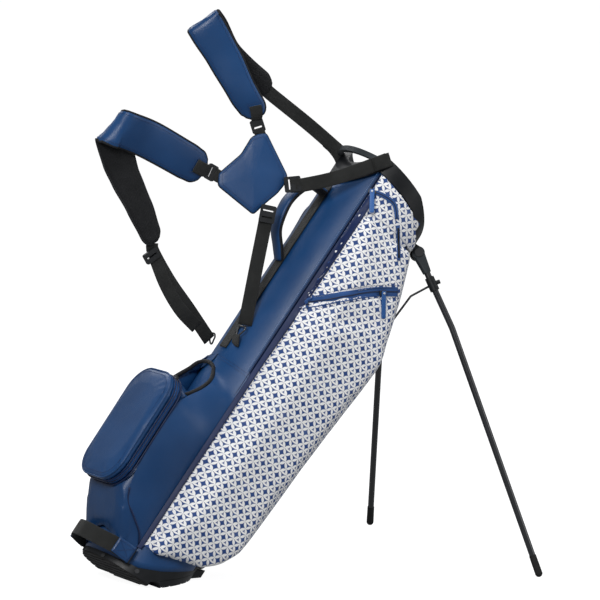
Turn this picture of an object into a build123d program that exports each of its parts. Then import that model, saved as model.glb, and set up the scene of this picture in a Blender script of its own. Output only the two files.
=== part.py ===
"""Golf stand bag: a leather and fabric club tube on a moulded base, propped on two swinging legs.

Every piece is drawn in the bag's own upright frame, in millimetres: z runs up the club tube, +x
points to the belly, where the legs are, and -y is the bag's left side.  save() then leans each
piece back onto its open legs, with the base flap flat on the ground and the origin on its sole.
"""
import os
from math import atan2, cos, degrees, radians, sin, sqrt, tan

from build123d import *

# ---- driving dimensions (mm, degrees) ------------------------------------------------------
LEAN = 36.4                    # lean of the club tube from upright, standing on its legs
HINGE_X, HINGE_Z = -18, -27    # line where the base meets the ground, across the bag
ORIGIN_AHEAD = 55              # ground distance from that line forward to the part's origin

BASE_CENTRE, BASE_RADIUS = -16, 95     # round section of the tube at z = 0
TOP_CENTRE, TOP_RADIUS = 1, 98         # round section of the tube at z = TUBE_LENGTH
TUBE_LENGTH = 870
WALL = 3                       # padded wall of the club tube
GAP = 0.3                      # air between neighbouring pieces
RING_HEIGHT = 30               # height of the moulded ring round the club opening
RING_OUT, RING_IN = 101, 86    # its outer and inner radius
WIDE = 400                     # more than the bag's width, for cutting prisms

# side outline of the club opening: spine rim, peak beside the carry bar, slope to the belly rim
TOP_EDGE = [(-140, 742), (-68, 862), (18, 838), (69, 807), (130, 760)]
CUP_RIM = [(-140, -19), (-58, -9), (-18, 9.5), (110, 84.5)]      # where the moulded base ends
SOLE = 12                      # thickness of the hinged sole flap

PIVOT = Vector(94.5, -65, 762.5)       # left leg pivot
PIVOT_AXIS = Vector(-0.4677, -0.8839, 0)           # points outwards from the bag
LEG_SWING = 52.5               # folded flat to standing
LEG_RADIUS = 5.75
BEND_DOWN, BEND_OUT = 150, 10  # knee of the leg, below the pivot and outwards
FOOT_RADIUS = 6.8
BOSS_RADIUS, BOSS_HALF = 11.5, 7
COLLAR_DOWN = 62.3

ROD_RADIUS, ROD_Y = 2.5, 34    # pair of push rods on the belly
ROD_TOP = (94, 560)            # x and z of the upper end
ROD_FOOT = (84, 67.5)          # x and z of the cross rod at the bottom
LINK_RADIUS = 2.0

BALL_X, BALL_HALF, BALL_LOW, BALL_HIGH = -191, 71, 88, 313    # ball pocket lid
BALL_CORNER = 48
PULL_WIDTH, PULL_THICK = 9, 2

lean_sin, lean_cos, lean_tan = sin(radians(LEAN)), cos(radians(LEAN)), tan(radians(LEAN))
SHIFT_X = -ORIGIN_AHEAD - HINGE_X * lean_cos - HINGE_Z * lean_sin
SHIFT_Z = HINGE_X * lean_sin - HINGE_Z * lean_cos
STANCE = Location((SHIFT_X, 0, SHIFT_Z), (0, LEAN, 0))
os.makedirs("parts", exist_ok=True)


def save(piece, label):
    """Lean an upright piece with the bag, label it and write its STEP file."""
    leaned = piece.moved(STANCE)
    leaned.label = label
    export_step(leaned, f"parts/{label}.step")


# ---- helpers ------------------------------------------------------------------------------
def tube_centre(z):
    return BASE_CENTRE + (TOP_CENTRE - BASE_CENTRE) * z / TUBE_LENGTH


def tube_radius(z):
    return BASE_RADIUS + (TOP_RADIUS - BASE_RADIUS) * z / TUBE_LENGTH


def tube_solid(grow):
    """The club tube as a solid, grown outwards by some millimetres."""
    with BuildPart() as solid:
        for z in (-40, TUBE_LENGTH + 40):
            with BuildSketch(Plane.XY.offset(z)):
                with Locations((tube_centre(z), 0)):
                    Circle(tube_radius(z) + grow)
        loft(ruled=True)
    return solid.part


def side_prism(outline, half_width=WIDE):
    """A prism across the bag whose side view (x, z) is the outline."""
    with BuildPart() as prism:
        with BuildSketch(Plane.XZ):
            with BuildLine():
                Polyline(*outline, close=True)
            make_face()
        extrude(amount=half_width, both=True)
    return prism.part


def sector(start, end):
    """A wedge about the tube's axis between two angles, 180 at the spine and -90 on the left."""
    reach = 400
    corners = [(0, 0)]
    for angle in (start, (start + end) / 2, end):
        corners.append((reach * cos(radians(angle)), reach * sin(radians(angle))))
    with BuildPart() as wedge:
        with BuildSketch(Plane.XY.offset(-60)):
            with BuildLine():
                Polyline(*corners, close=True)
            make_face()
        extrude(amount=1100)
    return wedge.part


def ground(x, lift):
    """Height at x of a line parallel to the ground and lift above it."""
    return HINGE_Z + (x - HINGE_X) * lean_tan + lift / lean_cos


def on_sole(ahead, lift):
    """A point so far ahead of the hinge line along the ground, and lift above the ground."""
    return (HINGE_X + ahead * lean_cos - lift * lean_sin,
            HINGE_Z + ahead * lean_sin + lift * lean_cos)


def lowered(outline, drop):
    return [(x, z - drop) for x, z in outline]


def ribbon(stations, thickness):
    """A flat band through stations of (point, direction across the band, width)."""
    last = len(stations) - 1
    planes = []
    for index, (point, across, width) in enumerate(stations):
        before = Vector(*stations[max(index - 1, 0)][0])
        after = Vector(*stations[min(index + 1, last)][0])
        along = (after - before).normalized()
        across = Vector(*across)
        across = (across - along * across.dot(along)).normalized()
        planes.append((Plane(origin=point, x_dir=across, z_dir=along), width))
    with BuildPart() as band:
        for pair in zip(planes, planes[1:]):
            with BuildPart() as length:
                for plane, width in pair:
                    with BuildSketch(plane):
                        Rectangle(width, thickness)
                loft(ruled=True)
    return band.part


def mirrored(piece):
    """The right-hand copy of a left-hand piece."""
    return mirror(piece, about=Plane.XZ)


# ---- moulded base -------------------------------------------------------------------------
PIN_LIFT, PIN_AHEAD, PIN_RADIUS = 6.5, 6, 2.5
PIN_X, PIN_Z = on_sole(PIN_AHEAD, PIN_LIFT)
KNUCKLE_HALF, EAR_OUT = 49.5, 66
CUP_WALL, CUP_FLOOR = 4, 5
CUP_LIFT = SOLE + 0.6          # air between the sole flap and the cup above it
STEP_X = -27                   # end of the upright standing face


def cylinder_y(radius, y0, y1, x=PIN_X, z=PIN_Z):
    """A cylinder across the bag from y0 to y1."""
    with BuildPart() as bar:
        with BuildSketch(Plane(origin=(x, y0, z), x_dir=(1, 0, 0), z_dir=(0, 1, 0))):
            Circle(radius)
        extrude(amount=y1 - y0)
    return bar.part


def cup_body(radius):
    with BuildPart() as body:
        with BuildSketch(Plane.XY.offset(-40)):
            with Locations((BASE_CENTRE, 0)):
                Circle(radius)
        extrude(amount=160)
    return body.part


with BuildPart() as base_cup:
    add(cup_body(BASE_RADIUS))
    add(side_prism([(-140, -24), (STEP_X, -24), (STEP_X, ground(STEP_X, CUP_LIFT)),
                    (110, ground(110, CUP_LIFT)), *reversed(CUP_RIM)]), mode=Mode.INTERSECT)
    inside = side_prism([(-140, -24 + CUP_FLOOR), (STEP_X, -24 + CUP_FLOOR),
                         (STEP_X, ground(STEP_X, CUP_LIFT + CUP_FLOOR)),
                         (110, ground(110, CUP_LIFT + CUP_FLOOR)), (110, 200), (-140, 200)])
    add(cup_body(BASE_RADIUS - CUP_WALL).intersect(inside), mode=Mode.SUBTRACT)
    for side in (-1, 1):
        near, far = sorted((side * (KNUCKLE_HALF + 1), side * EAR_OUT))
        add(cylinder_y(PIN_LIFT, near, far))
        with BuildSketch(Plane.XZ.offset(-far)):
            with BuildLine():
                Polyline(on_sole(PIN_AHEAD - 6, PIN_LIFT), on_sole(PIN_AHEAD + 6, PIN_LIFT),
                         on_sole(PIN_AHEAD + 7, CUP_LIFT + 2),
                         on_sole(PIN_AHEAD - 7, CUP_LIFT + 2), close=True)
            make_face()
        extrude(amount=far - near)
    add(cylinder_y(PIN_LIFT + 0.8, -KNUCKLE_HALF - 0.5, KNUCKLE_HALF + 0.5), mode=Mode.SUBTRACT)
    add(cylinder_y(PIN_RADIUS + 0.02, -EAR_OUT - 1, EAR_OUT + 1), mode=Mode.SUBTRACT)
save(base_cup.part, "base_cup")

with BuildPart() as base_tread:
    add(cup_body(BASE_RADIUS - 2))
    add(side_prism([(-140, -27), (STEP_X - 1, -27), (STEP_X - 1, -24), (-140, -24)]),
        mode=Mode.INTERSECT)
    for row in range(5):
        with Locations((STEP_X - 12 - 15 * row, 0, -27)):
            Box(4, WIDE, 2.4, mode=Mode.SUBTRACT)
save(base_tread.part, "base_tread")

flap_hinge_pin = cylinder_y(PIN_RADIUS, -EAR_OUT, EAR_OUT)
save(flap_hinge_pin, "flap_hinge_pin")

# rivets through the cup's rim into the tube wall
with BuildPart() as base_rivets:
    for angle, height in ((115, -15), (157, -20.5), (203, -20.5), (245, -15)):
        outward = Vector(cos(radians(angle)), sin(radians(angle)), 0)
        centre = Vector(BASE_CENTRE, 0, height) + outward * (BASE_RADIUS + 0.02)
        with BuildSketch(Plane(origin=centre, z_dir=outward)):
            Circle(4)
        extrude(amount=1.6)
save(base_rivets.part, "base_rivets")

TOE_HALF, TOE_X = 38, 88
with BuildPart() as base_flap:
    add(cup_body(BASE_RADIUS))
    with BuildSketch(Plane.XY.offset(-40)):
        with Locations((TOE_X - 20, 0)):
            Rectangle(40, 2 * TOE_HALF)
    extrude(amount=160)
    add(side_prism([(PIN_X, ground(PIN_X, 0)), (110, ground(110, 0)),
                    (110, ground(110, SOLE)), (PIN_X, ground(PIN_X, SOLE))]),
        mode=Mode.INTERSECT)
    for side in (-1, 1):
        near, far = sorted((side * (KNUCKLE_HALF), side * (EAR_OUT + 40)))
        add(cylinder_y(PIN_LIFT + 6.2, near, far), mode=Mode.SUBTRACT)
    add(cylinder_y(PIN_LIFT, -KNUCKLE_HALF, KNUCKLE_HALF))
    add(cylinder_y(PIN_RADIUS + 0.05, -KNUCKLE_HALF - 1, KNUCKLE_HALF + 1), mode=Mode.SUBTRACT)
    for ahead in (22, 40, 70, 88, 104):
        groove_x, groove_z = on_sole(ahead, 0)
        groove = Plane(origin=(groove_x, 0, groove_z), x_dir=(lean_cos, 0, lean_sin),
                       z_dir=(-lean_sin, 0, lean_cos))
        with BuildSketch(groove):
            Rectangle(4, WIDE)
        extrude(amount=1.5, mode=Mode.SUBTRACT)
save(base_flap.part, "base_flap")

# ---- club tube ----------------------------------------------------------------------------
panel_outline = [*[(x, z + GAP) for x, z in CUP_RIM],
                 *reversed(lowered(TOP_EDGE, RING_HEIGHT + GAP))]


def wall_panel(start, end):
    with BuildPart() as panel:
        add(tube_solid(0))
        add(tube_solid(-WALL), mode=Mode.SUBTRACT)
        add(side_prism(panel_outline), mode=Mode.INTERSECT)
        add(sector(start + 0.1, end - 0.1), mode=Mode.INTERSECT)
    return panel.part


SPINE_HALF = 50                # the leather spine runs this many degrees to each side
save(wall_panel(180 - SPINE_HALF, 180 + SPINE_HALF), "spine_panel")
save(wall_panel(180 + SPINE_HALF, 312), "left_side_panel")
save(wall_panel(48, 180 - SPINE_HALF), "right_side_panel")
save(wall_panel(-48, 48), "belly_panel")

STAY_RADIUS = 3
with BuildPart() as stay_rods:
    for angle in (45, 135, 225, 315):
        foot = Vector(BASE_CENTRE + 84 * cos(radians(angle)), 84 * sin(radians(angle)), 0)
        tip = Vector(TOP_CENTRE + 84 * cos(radians(angle)), 84 * sin(radians(angle)), 730)
        low = 78 if foot.X > 0 else 0
        start = foot + (tip - foot) * (low / 730)
        with BuildSketch(Plane(origin=start, z_dir=tip - foot)):
            Circle(STAY_RADIUS)
        extrude(amount=(tip - start).length)
save(stay_rods.part, "stay_rods")

# ---- ring round the club opening ----------------------------------------------------------
with BuildPart() as cuff_collar:
    with BuildSketch(Plane.XY.offset(700)):
        with Locations((TOP_CENTRE, 0)):
            Circle(RING_OUT)
            Circle(RING_IN, mode=Mode.SUBTRACT)
    extrude(amount=200)
    add(side_prism([*lowered(TOP_EDGE, RING_HEIGHT), *reversed(TOP_EDGE)]),
        mode=Mode.INTERSECT)
save(cuff_collar.part, "cuff_collar")

DIVIDER_TOP, DIVIDER_DEPTH, DIVIDER_THICK = 772, 26, 8
with BuildPart() as divider_cross:
    with BuildSketch(Plane.XY.offset(DIVIDER_TOP - DIVIDER_DEPTH)):
        with Locations((TOP_CENTRE, 0)):
            Rectangle(2 * RING_IN, DIVIDER_THICK)
            Rectangle(DIVIDER_THICK, 2 * RING_IN)
    extrude(amount=DIVIDER_DEPTH)
    with BuildSketch(Plane.XY.offset(DIVIDER_TOP - DIVIDER_DEPTH)):
        with Locations((TOP_CENTRE, 0)):
            Circle(RING_IN - GAP)
    extrude(amount=DIVIDER_DEPTH, mode=Mode.INTERSECT)
save(divider_cross.part, "divider_cross")

SHEET_THICK = 2
with BuildPart() as divider_sheets:
    with BuildSketch(Plane.XY.offset(85)):
        Rectangle(220, SHEET_THICK)
        Rectangle(SHEET_THICK, 220)
    extrude(amount=DIVIDER_TOP - DIVIDER_DEPTH - 85 - GAP)
    add(tube_solid(-WALL - GAP), mode=Mode.INTERSECT)
save(divider_sheets.part, "divider_sheets")

CARRY_REACH, CARRY_X, CARRY_Y = -104, -75, 70
carry_rise = CARRY_X - CARRY_REACH
carry_radius = (CARRY_Y**2 + carry_rise**2) / (2 * carry_rise)
with BuildPart() as crossbar_handle:
    with BuildSketch(Plane.XY.offset(844)):
        with Locations((CARRY_REACH + carry_radius, 0)):
            Circle(carry_radius + 4)
            Circle(carry_radius - 4, mode=Mode.SUBTRACT)
    extrude(amount=10)
    with Locations((CARRY_REACH, 0, 860)):
        Box(84, 2 * CARRY_Y + 8, 60, mode=Mode.INTERSECT)
    add(cuff_collar.part, mode=Mode.SUBTRACT)
carry_bar = crossbar_handle.part.solids().sort_by(lambda s: s.volume)[-1]
save(carry_bar, "crossbar_handle")

# ---- leg brackets and pivot pins ----------------------------------------------------------
OUT = Vector(-PIVOT_AXIS.Y, PIVOT_AXIS.X, 0)       # way that the leg swings, level
PIN_R = 3.0
CHEEK_THICK = 9


def along_pivot(offset, x_shift=0.0, z_shift=0.0):
    """Plane on the pivot axis, offset outwards, with x towards the swing and y up."""
    origin = PIVOT + PIVOT_AXIS * offset + OUT * x_shift + Vector(0, 0, z_shift)
    return Plane(origin=origin, x_dir=OUT, z_dir=PIVOT_AXIS)


up_sign = 1 if along_pivot(0).y_dir.Z > 0 else -1
with BuildPart() as leg_bracket:
    with BuildSketch(along_pivot(-BOSS_HALF - 0.4 - CHEEK_THICK)):
        Circle(13)
        with Locations((-12, up_sign * 2)):
            Rectangle(24, 24)
    extrude(amount=CHEEK_THICK)
    with BuildSketch(along_pivot(-BOSS_HALF - 0.4 - CHEEK_THICK - 1)):
        Circle(PIN_R + 0.02)
    extrude(amount=CHEEK_THICK + 2, mode=Mode.SUBTRACT)
    with BuildSketch(Plane.XY.offset(700)):
        with Locations((TOP_CENTRE, 0)):
            Circle(RING_OUT + 0.1)
    extrude(amount=200, mode=Mode.SUBTRACT)
bracket = leg_bracket.part.solids().sort_by(lambda s: s.volume)[-1]
save(bracket, "leg_bracket_left")
save(mirrored(bracket), "leg_bracket_right")

with BuildPart() as pivot_pin:
    with BuildSketch(along_pivot(-BOSS_HALF - 0.4 - CHEEK_THICK)):
        Circle(PIN_R)
    extrude(amount=CHEEK_THICK + 2 * BOSS_HALF + 0.8)
    with BuildSketch(along_pivot(BOSS_HALF + 0.4)):
        Circle(8.5)
    extrude(amount=2.6)
    chamfer(pivot_pin.faces().sort_by(Axis(tuple(PIVOT), tuple(PIVOT_AXIS)))[-1].edges(), 1)
save(Compound([pivot_pin.part, mirrored(pivot_pin.part)]), "leg_pivot_pins")

# ---- legs: drawn folded, then swung out about the pivot -----------------------------------
foot_drop = (lean_cos * PIVOT.Z - lean_sin * PIVOT.X + SHIFT_Z - FOOT_RADIUS)
swing = radians(LEG_SWING)
stance_down = lean_cos * cos(swing) + lean_sin * OUT.X * sin(swing)
LEG_LENGTH = foot_drop / stance_down               # pivot to the centre of the rubber foot
knee = PIVOT + OUT * BEND_OUT - Vector(0, 0, BEND_DOWN)
foot_centre = PIVOT - Vector(0, 0, LEG_LENGTH)
upper_way = (knee - PIVOT).normalized()
lower_way = (foot_centre - knee).normalized()
swing_axis = Axis(tuple(PIVOT), tuple(PIVOT_AXIS))


def swung(piece):
    """Swing a folded left leg piece out to where it stands."""
    return piece.rotate(swing_axis, LEG_SWING)


SOCKET_START, SOCKET_END = 16, 40
with BuildPart() as knuckle:
    with BuildSketch(along_pivot(-BOSS_HALF)):
        Circle(BOSS_RADIUS)
    extrude(amount=2 * BOSS_HALF)
    with BuildSketch(Plane(origin=PIVOT + upper_way * 4, x_dir=PIVOT_AXIS, z_dir=upper_way)):
        RectangleRounded(2 * BOSS_HALF, 22, 5)
    with BuildSketch(Plane(origin=PIVOT + upper_way * SOCKET_END, x_dir=PIVOT_AXIS,
                           z_dir=upper_way)):
        RectangleRounded(15, 15, 6)
    loft()
    with BuildSketch(Plane(origin=PIVOT + upper_way * SOCKET_START, z_dir=upper_way)):
        Circle(LEG_RADIUS + 0.02)
    extrude(amount=SOCKET_END, mode=Mode.SUBTRACT)
    with BuildSketch(along_pivot(-BOSS_HALF - 1)):
        Circle(PIN_R + 0.05)
    extrude(amount=2 * BOSS_HALF + 2, mode=Mode.SUBTRACT)

with BuildPart() as leg_tube:
    with BuildLine() as leg_line:
        FilletPolyline(tuple(PIVOT + upper_way * SOCKET_START), tuple(knee),
                       tuple(foot_centre - lower_way * 6), radius=60)
    with BuildSketch(Plane(origin=leg_line.line @ 0, z_dir=leg_line.line % 0)):
        Circle(LEG_RADIUS)
        Circle(LEG_RADIUS - 1, mode=Mode.SUBTRACT)
    sweep()

COLLAR_RADIUS, COLLAR_LENGTH, KNOB_RADIUS = 8.6, 26, 4
with BuildPart() as collar:
    start = PIVOT + upper_way * (COLLAR_DOWN - COLLAR_LENGTH / 2)
    with BuildSketch(Plane(origin=start, z_dir=upper_way)):
        Circle(COLLAR_RADIUS)
    extrude(amount=COLLAR_LENGTH)
    with BuildSketch(Plane(origin=PIVOT + upper_way * COLLAR_DOWN + OUT * 3, z_dir=OUT)):
        Circle(KNOB_RADIUS)
    extrude(amount=12)
    with BuildSketch(Plane(origin=start - upper_way, z_dir=upper_way)):
        Circle(LEG_RADIUS + 0.02)
    extrude(amount=COLLAR_LENGTH + 2, mode=Mode.SUBTRACT)

with BuildPart() as foot:
    with BuildSketch(Plane(origin=foot_centre - lower_way * 34, z_dir=lower_way)):
        Circle(6.5)
    with BuildSketch(Plane(origin=foot_centre, z_dir=lower_way)):
        Circle(FOOT_RADIUS)
    loft()
    with Locations(tuple(foot_centre)):
        Sphere(FOOT_RADIUS)
    with BuildSketch(Plane(origin=foot_centre - lower_way * 36, z_dir=lower_way)):
        Circle(LEG_RADIUS + 0.02)
    extrude(amount=30.02, mode=Mode.SUBTRACT)

for piece, label in ((knuckle, "knuckle"), (leg_tube, "leg_tube"), (collar, "collar"),
                     (foot, "foot")):
    standing = swung(piece.part)
    save(standing, label + "_left")
    save(mirrored(standing), label + "_right")

# ---- push rods and their links ------------------------------------------------------------
rod_top = Vector(ROD_TOP[0], -ROD_Y, ROD_TOP[1])
rod_low = Vector(ROD_FOOT[0], -ROD_Y, ROD_FOOT[1])
rod_way = (rod_top - rod_low).normalized()
rod_end = rod_top - rod_way * 5
with BuildPart() as actuator_rods:
    with BuildLine() as rod_line:
        FilletPolyline(tuple(rod_end), tuple(rod_low), (rod_low.X, ROD_Y, rod_low.Z),
                       (rod_end.X, ROD_Y, rod_end.Z), radius=9)
    with BuildSketch(Plane(origin=rod_line.line @ 0, z_dir=rod_line.line % 0)):
        Circle(ROD_RADIUS)
    sweep()
    for y in (-ROD_Y, ROD_Y):
        add(cylinder_y(5, y - 6.3, y - 3.4, rod_top.X, rod_top.Z))
        add(cylinder_y(5, y + 3.4, y + 6.3, rod_top.X, rod_top.Z))
        with Locations((rod_top.X - 0.1, y, rod_top.Z - 6.8)):
            Box(7, 12.6, 4.2)
save(actuator_rods.part, "actuator_rods")

with BuildPart() as rod_guides:
    for z in (150, 330, 500):
        for y in (-ROD_Y, ROD_Y):
            centre = Vector(rod_low.X + rod_way.X / rod_way.Z * (z - rod_low.Z), y, z)
            way = Vector(rod_way.X, 0, rod_way.Z)
            with BuildSketch(Plane(origin=centre - way * 9, z_dir=way)):
                Circle(6.5)
                Circle(ROD_RADIUS + 0.06, mode=Mode.SUBTRACT)
            extrude(amount=18)
    add(tube_solid(0.1), mode=Mode.SUBTRACT)
save(rod_guides.part, "rod_guides")

collar_stand = (PIVOT + upper_way * COLLAR_DOWN - PIVOT).rotate(Axis((0, 0, 0), tuple(PIVOT_AXIS)),
                                                             LEG_SWING) + PIVOT
link_tip = collar_stand - PIVOT_AXIS * (COLLAR_RADIUS + LINK_RADIUS + 1.9)
LINK_KNEES = ((97, -34, 576), (123, -68, 632), (127, -70, 690))
with BuildPart() as wire_link:
    with BuildLine() as link_line:
        FilletPolyline((rod_top.X, -ROD_Y, rod_top.Z), *LINK_KNEES, tuple(link_tip), radius=8)
    with BuildSketch(Plane(origin=link_line.line @ 0, z_dir=link_line.line % 0)):
        Circle(LINK_RADIUS)
    sweep()
    with Locations((rod_top.X, -ROD_Y, rod_top.Z)):
        Sphere(3)
    with Locations(tuple(link_tip)):
        Sphere(LINK_RADIUS + 1)
save(wire_link.part, "wire_link_left")
save(mirrored(wire_link.part), "wire_link_right")

# ---- side pockets -------------------------------------------------------------------------
LEG_LANE = 10                  # the pocket keeps this far outside the plane that a leg swings in
SIGHT = Vector(0.873, -0.487, 0)                   # towards the pocket's belly corner
pocket_section = [(-50, -50), (-66, -78), (-48, -116), (0, -146), (85, -150), (124, -136),
                  (130, -92), (60, -50)]
pocket_reach = [(80, 20), (128, 113), (141, 301), (163, 543), (151, 577), (130, 657), (101, 749)]
pocket_depth = [(-104, 20), (-126, 113), (-134, 301), (-140, 545), (-129, 661), (-107, 749)]
pocket_foot = [(-80, 18), (-31, 28), (40, 52), (72, 82), (92, 125)]
ZIP_PATH = [((-66, -86, 550), (-0.9, -0.2, 0.4), 14), ((-22, -131, 603), (-0.587, 0, 0.81), 14),
            ((66, -127, 667), (-0.587, 0, 0.81), 14)]


def cut_prism(plane, outline):
    with BuildPart() as prism:
        with BuildSketch(plane):
            with BuildLine():
                Polyline(*outline, close=True)
            make_face()
        extrude(amount=WIDE, both=True)
    return prism.part


def widened(stations, extra):
    return [(point, across, width + extra) for point, across, width in stations]


with BuildPart() as apparel_pocket:
    with BuildSketch(Plane.XY.offset(18)):
        with BuildLine() as section:
            FilletPolyline(*pocket_section, radius=14, close=True)
        make_face()
    extrude(amount=730)
    reach_plane = Plane(origin=(0, 0, 0), x_dir=SIGHT, z_dir=SIGHT.cross(Vector(0, 0, 1)))
    add(cut_prism(reach_plane, [(-400, 10), *pocket_reach, (-400, 748)]), mode=Mode.INTERSECT)
    add(cut_prism(Plane.YZ, [(100, 10), *pocket_depth, (100, 748)]), mode=Mode.INTERSECT)
    add(side_prism([*pocket_foot, (200, 300), (200, 760), (-80, 760)]), mode=Mode.INTERSECT)
    add(tube_solid(GAP), mode=Mode.SUBTRACT)
    lane = Plane(origin=PIVOT + PIVOT_AXIS * LEG_LANE, x_dir=OUT, z_dir=PIVOT_AXIS)
    with BuildSketch(lane):
        Rectangle(2000, 2000)
    extrude(amount=-500, mode=Mode.SUBTRACT)
    add(ribbon(widened(ZIP_PATH, 4), 9), mode=Mode.SUBTRACT)
pocket_left = apparel_pocket.part.solids().sort_by(lambda s: s.volume)[-1]
save(pocket_left, "apparel_pocket_left")
save(mirrored(pocket_left), "apparel_pocket_right")
zip_left = ribbon(ZIP_PATH, 2)
save(Compound([zip_left, mirrored(zip_left)]), "apparel_zips")

VALUABLES_DEPTH = 9
with BuildPart() as valuables_pocket:
    add(tube_solid(VALUABLES_DEPTH))
    add(tube_solid(GAP), mode=Mode.SUBTRACT)
    add(sector(-129, -42), mode=Mode.INTERSECT)
    add(side_prism([(-140, 752), *lowered(TOP_EDGE[1:4], RING_HEIGHT + 2), (95, 752)]),
        mode=Mode.INTERSECT)
    with BuildSketch(lane):
        Rectangle(2000, 2000)
    extrude(amount=-500, mode=Mode.SUBTRACT)
save(valuables_pocket.part.solids().sort_by(lambda s: s.volume)[-1], "valuables_pocket")

# ---- zip sliders and pulls ----------------------------------------------------------------
HANG = Vector(lean_sin, 0, -lean_cos)              # straight down, once the bag leans


def slider(centre, along, outward, size=(13, 9, 6)):
    with BuildPart() as block:
        with BuildSketch(Plane(origin=Vector(*centre) - outward * (size[2] / 2), x_dir=along,
                               z_dir=outward)):
            RectangleRounded(size[0], size[1], 2)
        extrude(amount=size[2])
    return block.part


def pull(pivot, outward, length):
    """A leather pull on a rivet, hanging as straight down as its pivot lets it."""
    hang = (HANG - outward * HANG.dot(outward)).normalized()
    with BuildPart() as tab:
        with BuildSketch(Plane(origin=pivot, x_dir=hang, z_dir=outward)):
            with Locations((length / 2 - 4, 0)):
                RectangleRounded(length, PULL_WIDTH, 3)
        extrude(amount=PULL_THICK)
    return tab.part


LEFT = Vector(0, -1, 0)
zip_way = (Vector(*ZIP_PATH[1][0]) - Vector(*ZIP_PATH[2][0])).normalized()
apparel_start = Vector(*ZIP_PATH[2][0]) + zip_way * 36
apparel_slider = slider(apparel_start + LEFT * 5.2, zip_way, LEFT)
apparel_pull = pull(apparel_start + LEFT * 9, LEFT, 50)
save(apparel_slider, "apparel_slider_left")
save(apparel_pull, "apparel_pull_left")
save(mirrored(apparel_slider), "apparel_slider_right")
save(mirrored(apparel_pull), "apparel_pull_right")

VALUABLES_ANGLE, VALUABLES_Z = -127, 790
valuables_out = Vector(cos(radians(VALUABLES_ANGLE)), sin(radians(VALUABLES_ANGLE)), 0)
valuables_hub = Vector(tube_centre(VALUABLES_Z), 0, VALUABLES_Z)
valuables_face = tube_radius(VALUABLES_Z) + VALUABLES_DEPTH
valuables_slider = slider(valuables_hub + valuables_out * (valuables_face + 4.2),
                          Vector(-valuables_out.Y, valuables_out.X, 0), valuables_out)
save(valuables_slider, "valuables_slider")
save(pull(valuables_hub + valuables_out * (valuables_face + 7.6), valuables_out, 44),
     "valuables_pull")

# ---- ball pocket and bottle pocket on the spine -------------------------------------------
LID_THICK, TAPE_WIDE = 14, 14
TAPE_X = BALL_X + LID_THICK
BODY_X = TAPE_X + TAPE_WIDE
ball_mid = (BALL_LOW + BALL_HIGH) / 2


def lid_outline_prism(x0, x1, shrink):
    """The ball pocket's rounded outline, between two distances behind the tube."""
    with BuildPart() as slab:
        with BuildSketch(Plane(origin=(x0, 0, ball_mid), x_dir=(0, 1, 0), z_dir=(1, 0, 0))):
            RectangleRounded(2 * (BALL_HALF - shrink), BALL_HIGH - BALL_LOW - 2 * shrink,
                             BALL_CORNER - shrink)
        extrude(amount=x1 - x0)
    return slab.part


with BuildPart() as ball_pocket_lid:
    add(lid_outline_prism(BALL_X, TAPE_X - 0.1, 0))
    chamfer(ball_pocket_lid.faces().sort_by(Axis.X)[0].edges(), 5)
save(ball_pocket_lid.part, "ball_pocket_lid")
save(lid_outline_prism(TAPE_X, BODY_X - 0.1, 2), "ball_pocket_zip")

# two sliders meet on the zip: one runs round the corner, the other along the straight top
corner_y, corner_z = -(BALL_HALF - BALL_CORNER), BALL_HIGH - BALL_CORNER
NEAR_ANGLE = 100
ARC = BALL_CORNER - 2
near_out = Vector(0, cos(radians(NEAR_ANGLE)), sin(radians(NEAR_ANGLE)))
tape_middle = Vector((TAPE_X + BODY_X) / 2, corner_y, corner_z)
save(slider(tape_middle + near_out * (ARC + 3.4), Vector(0, near_out.Z, -near_out.Y), near_out,
            (10, 7, 6)), "ball_slider_near")
save(slider(tape_middle + Vector(0, 25, ARC + 3.4), Vector(0, 1, 0), Vector(0, 0, 1), (10, 7, 6)),
     "ball_slider_far")

BOTTLE_LOW, BOTTLE_HALF, BOTTLE_X = 205, 46, -139
MOUTH_IN, MOUTH_OUT = (-100, 392), (-152, 282)      # slanted mouth of the bottle pocket, x and z
with BuildPart() as ball_pocket_body:
    with BuildSketch(Plane.XY.offset(-5)):
        with Locations(((BODY_X - 60) / 2, 0)):
            RectangleRounded(-BODY_X - 60, 2 * BALL_HALF - 4, 22)
    extrude(amount=340)
    add(side_prism([(-60, 0), (-97, -4), (-103, 4), (-129, 42), (-150, 78), (BODY_X, 96), (BODY_X, 314),
                    (BOTTLE_X - 6.5, 314), (BOTTLE_X - 6.5, BOTTLE_LOW - 6), (-60, BOTTLE_LOW - 6)]),
        mode=Mode.INTERSECT)
    with BuildSketch(Plane(origin=(BODY_X, 0, ball_mid - 100), x_dir=(0, 1, 0),
                           z_dir=(1, 0, 0))):
        RectangleRounded(2 * BALL_HALF - 4, BALL_HIGH - BALL_LOW + 196, BALL_CORNER)
    extrude(amount=200, mode=Mode.INTERSECT)
    add(tube_solid(GAP), mode=Mode.SUBTRACT)
    add(cup_body(BASE_RADIUS + 2), mode=Mode.SUBTRACT)
ball_body = ball_pocket_body.part.solids().sort_by(lambda s: s.volume)[-1]
save(ball_body, "ball_pocket_body")

mouth_way = Vector(MOUTH_IN[0] - MOUTH_OUT[0], 0, MOUTH_IN[1] - MOUTH_OUT[1]).normalized()
mouth_up = Vector(-mouth_way.Z, 0, mouth_way.X)


def mouth_z(x):
    return MOUTH_IN[1] + (x - MOUTH_IN[0]) * mouth_way.Z / mouth_way.X


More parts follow.
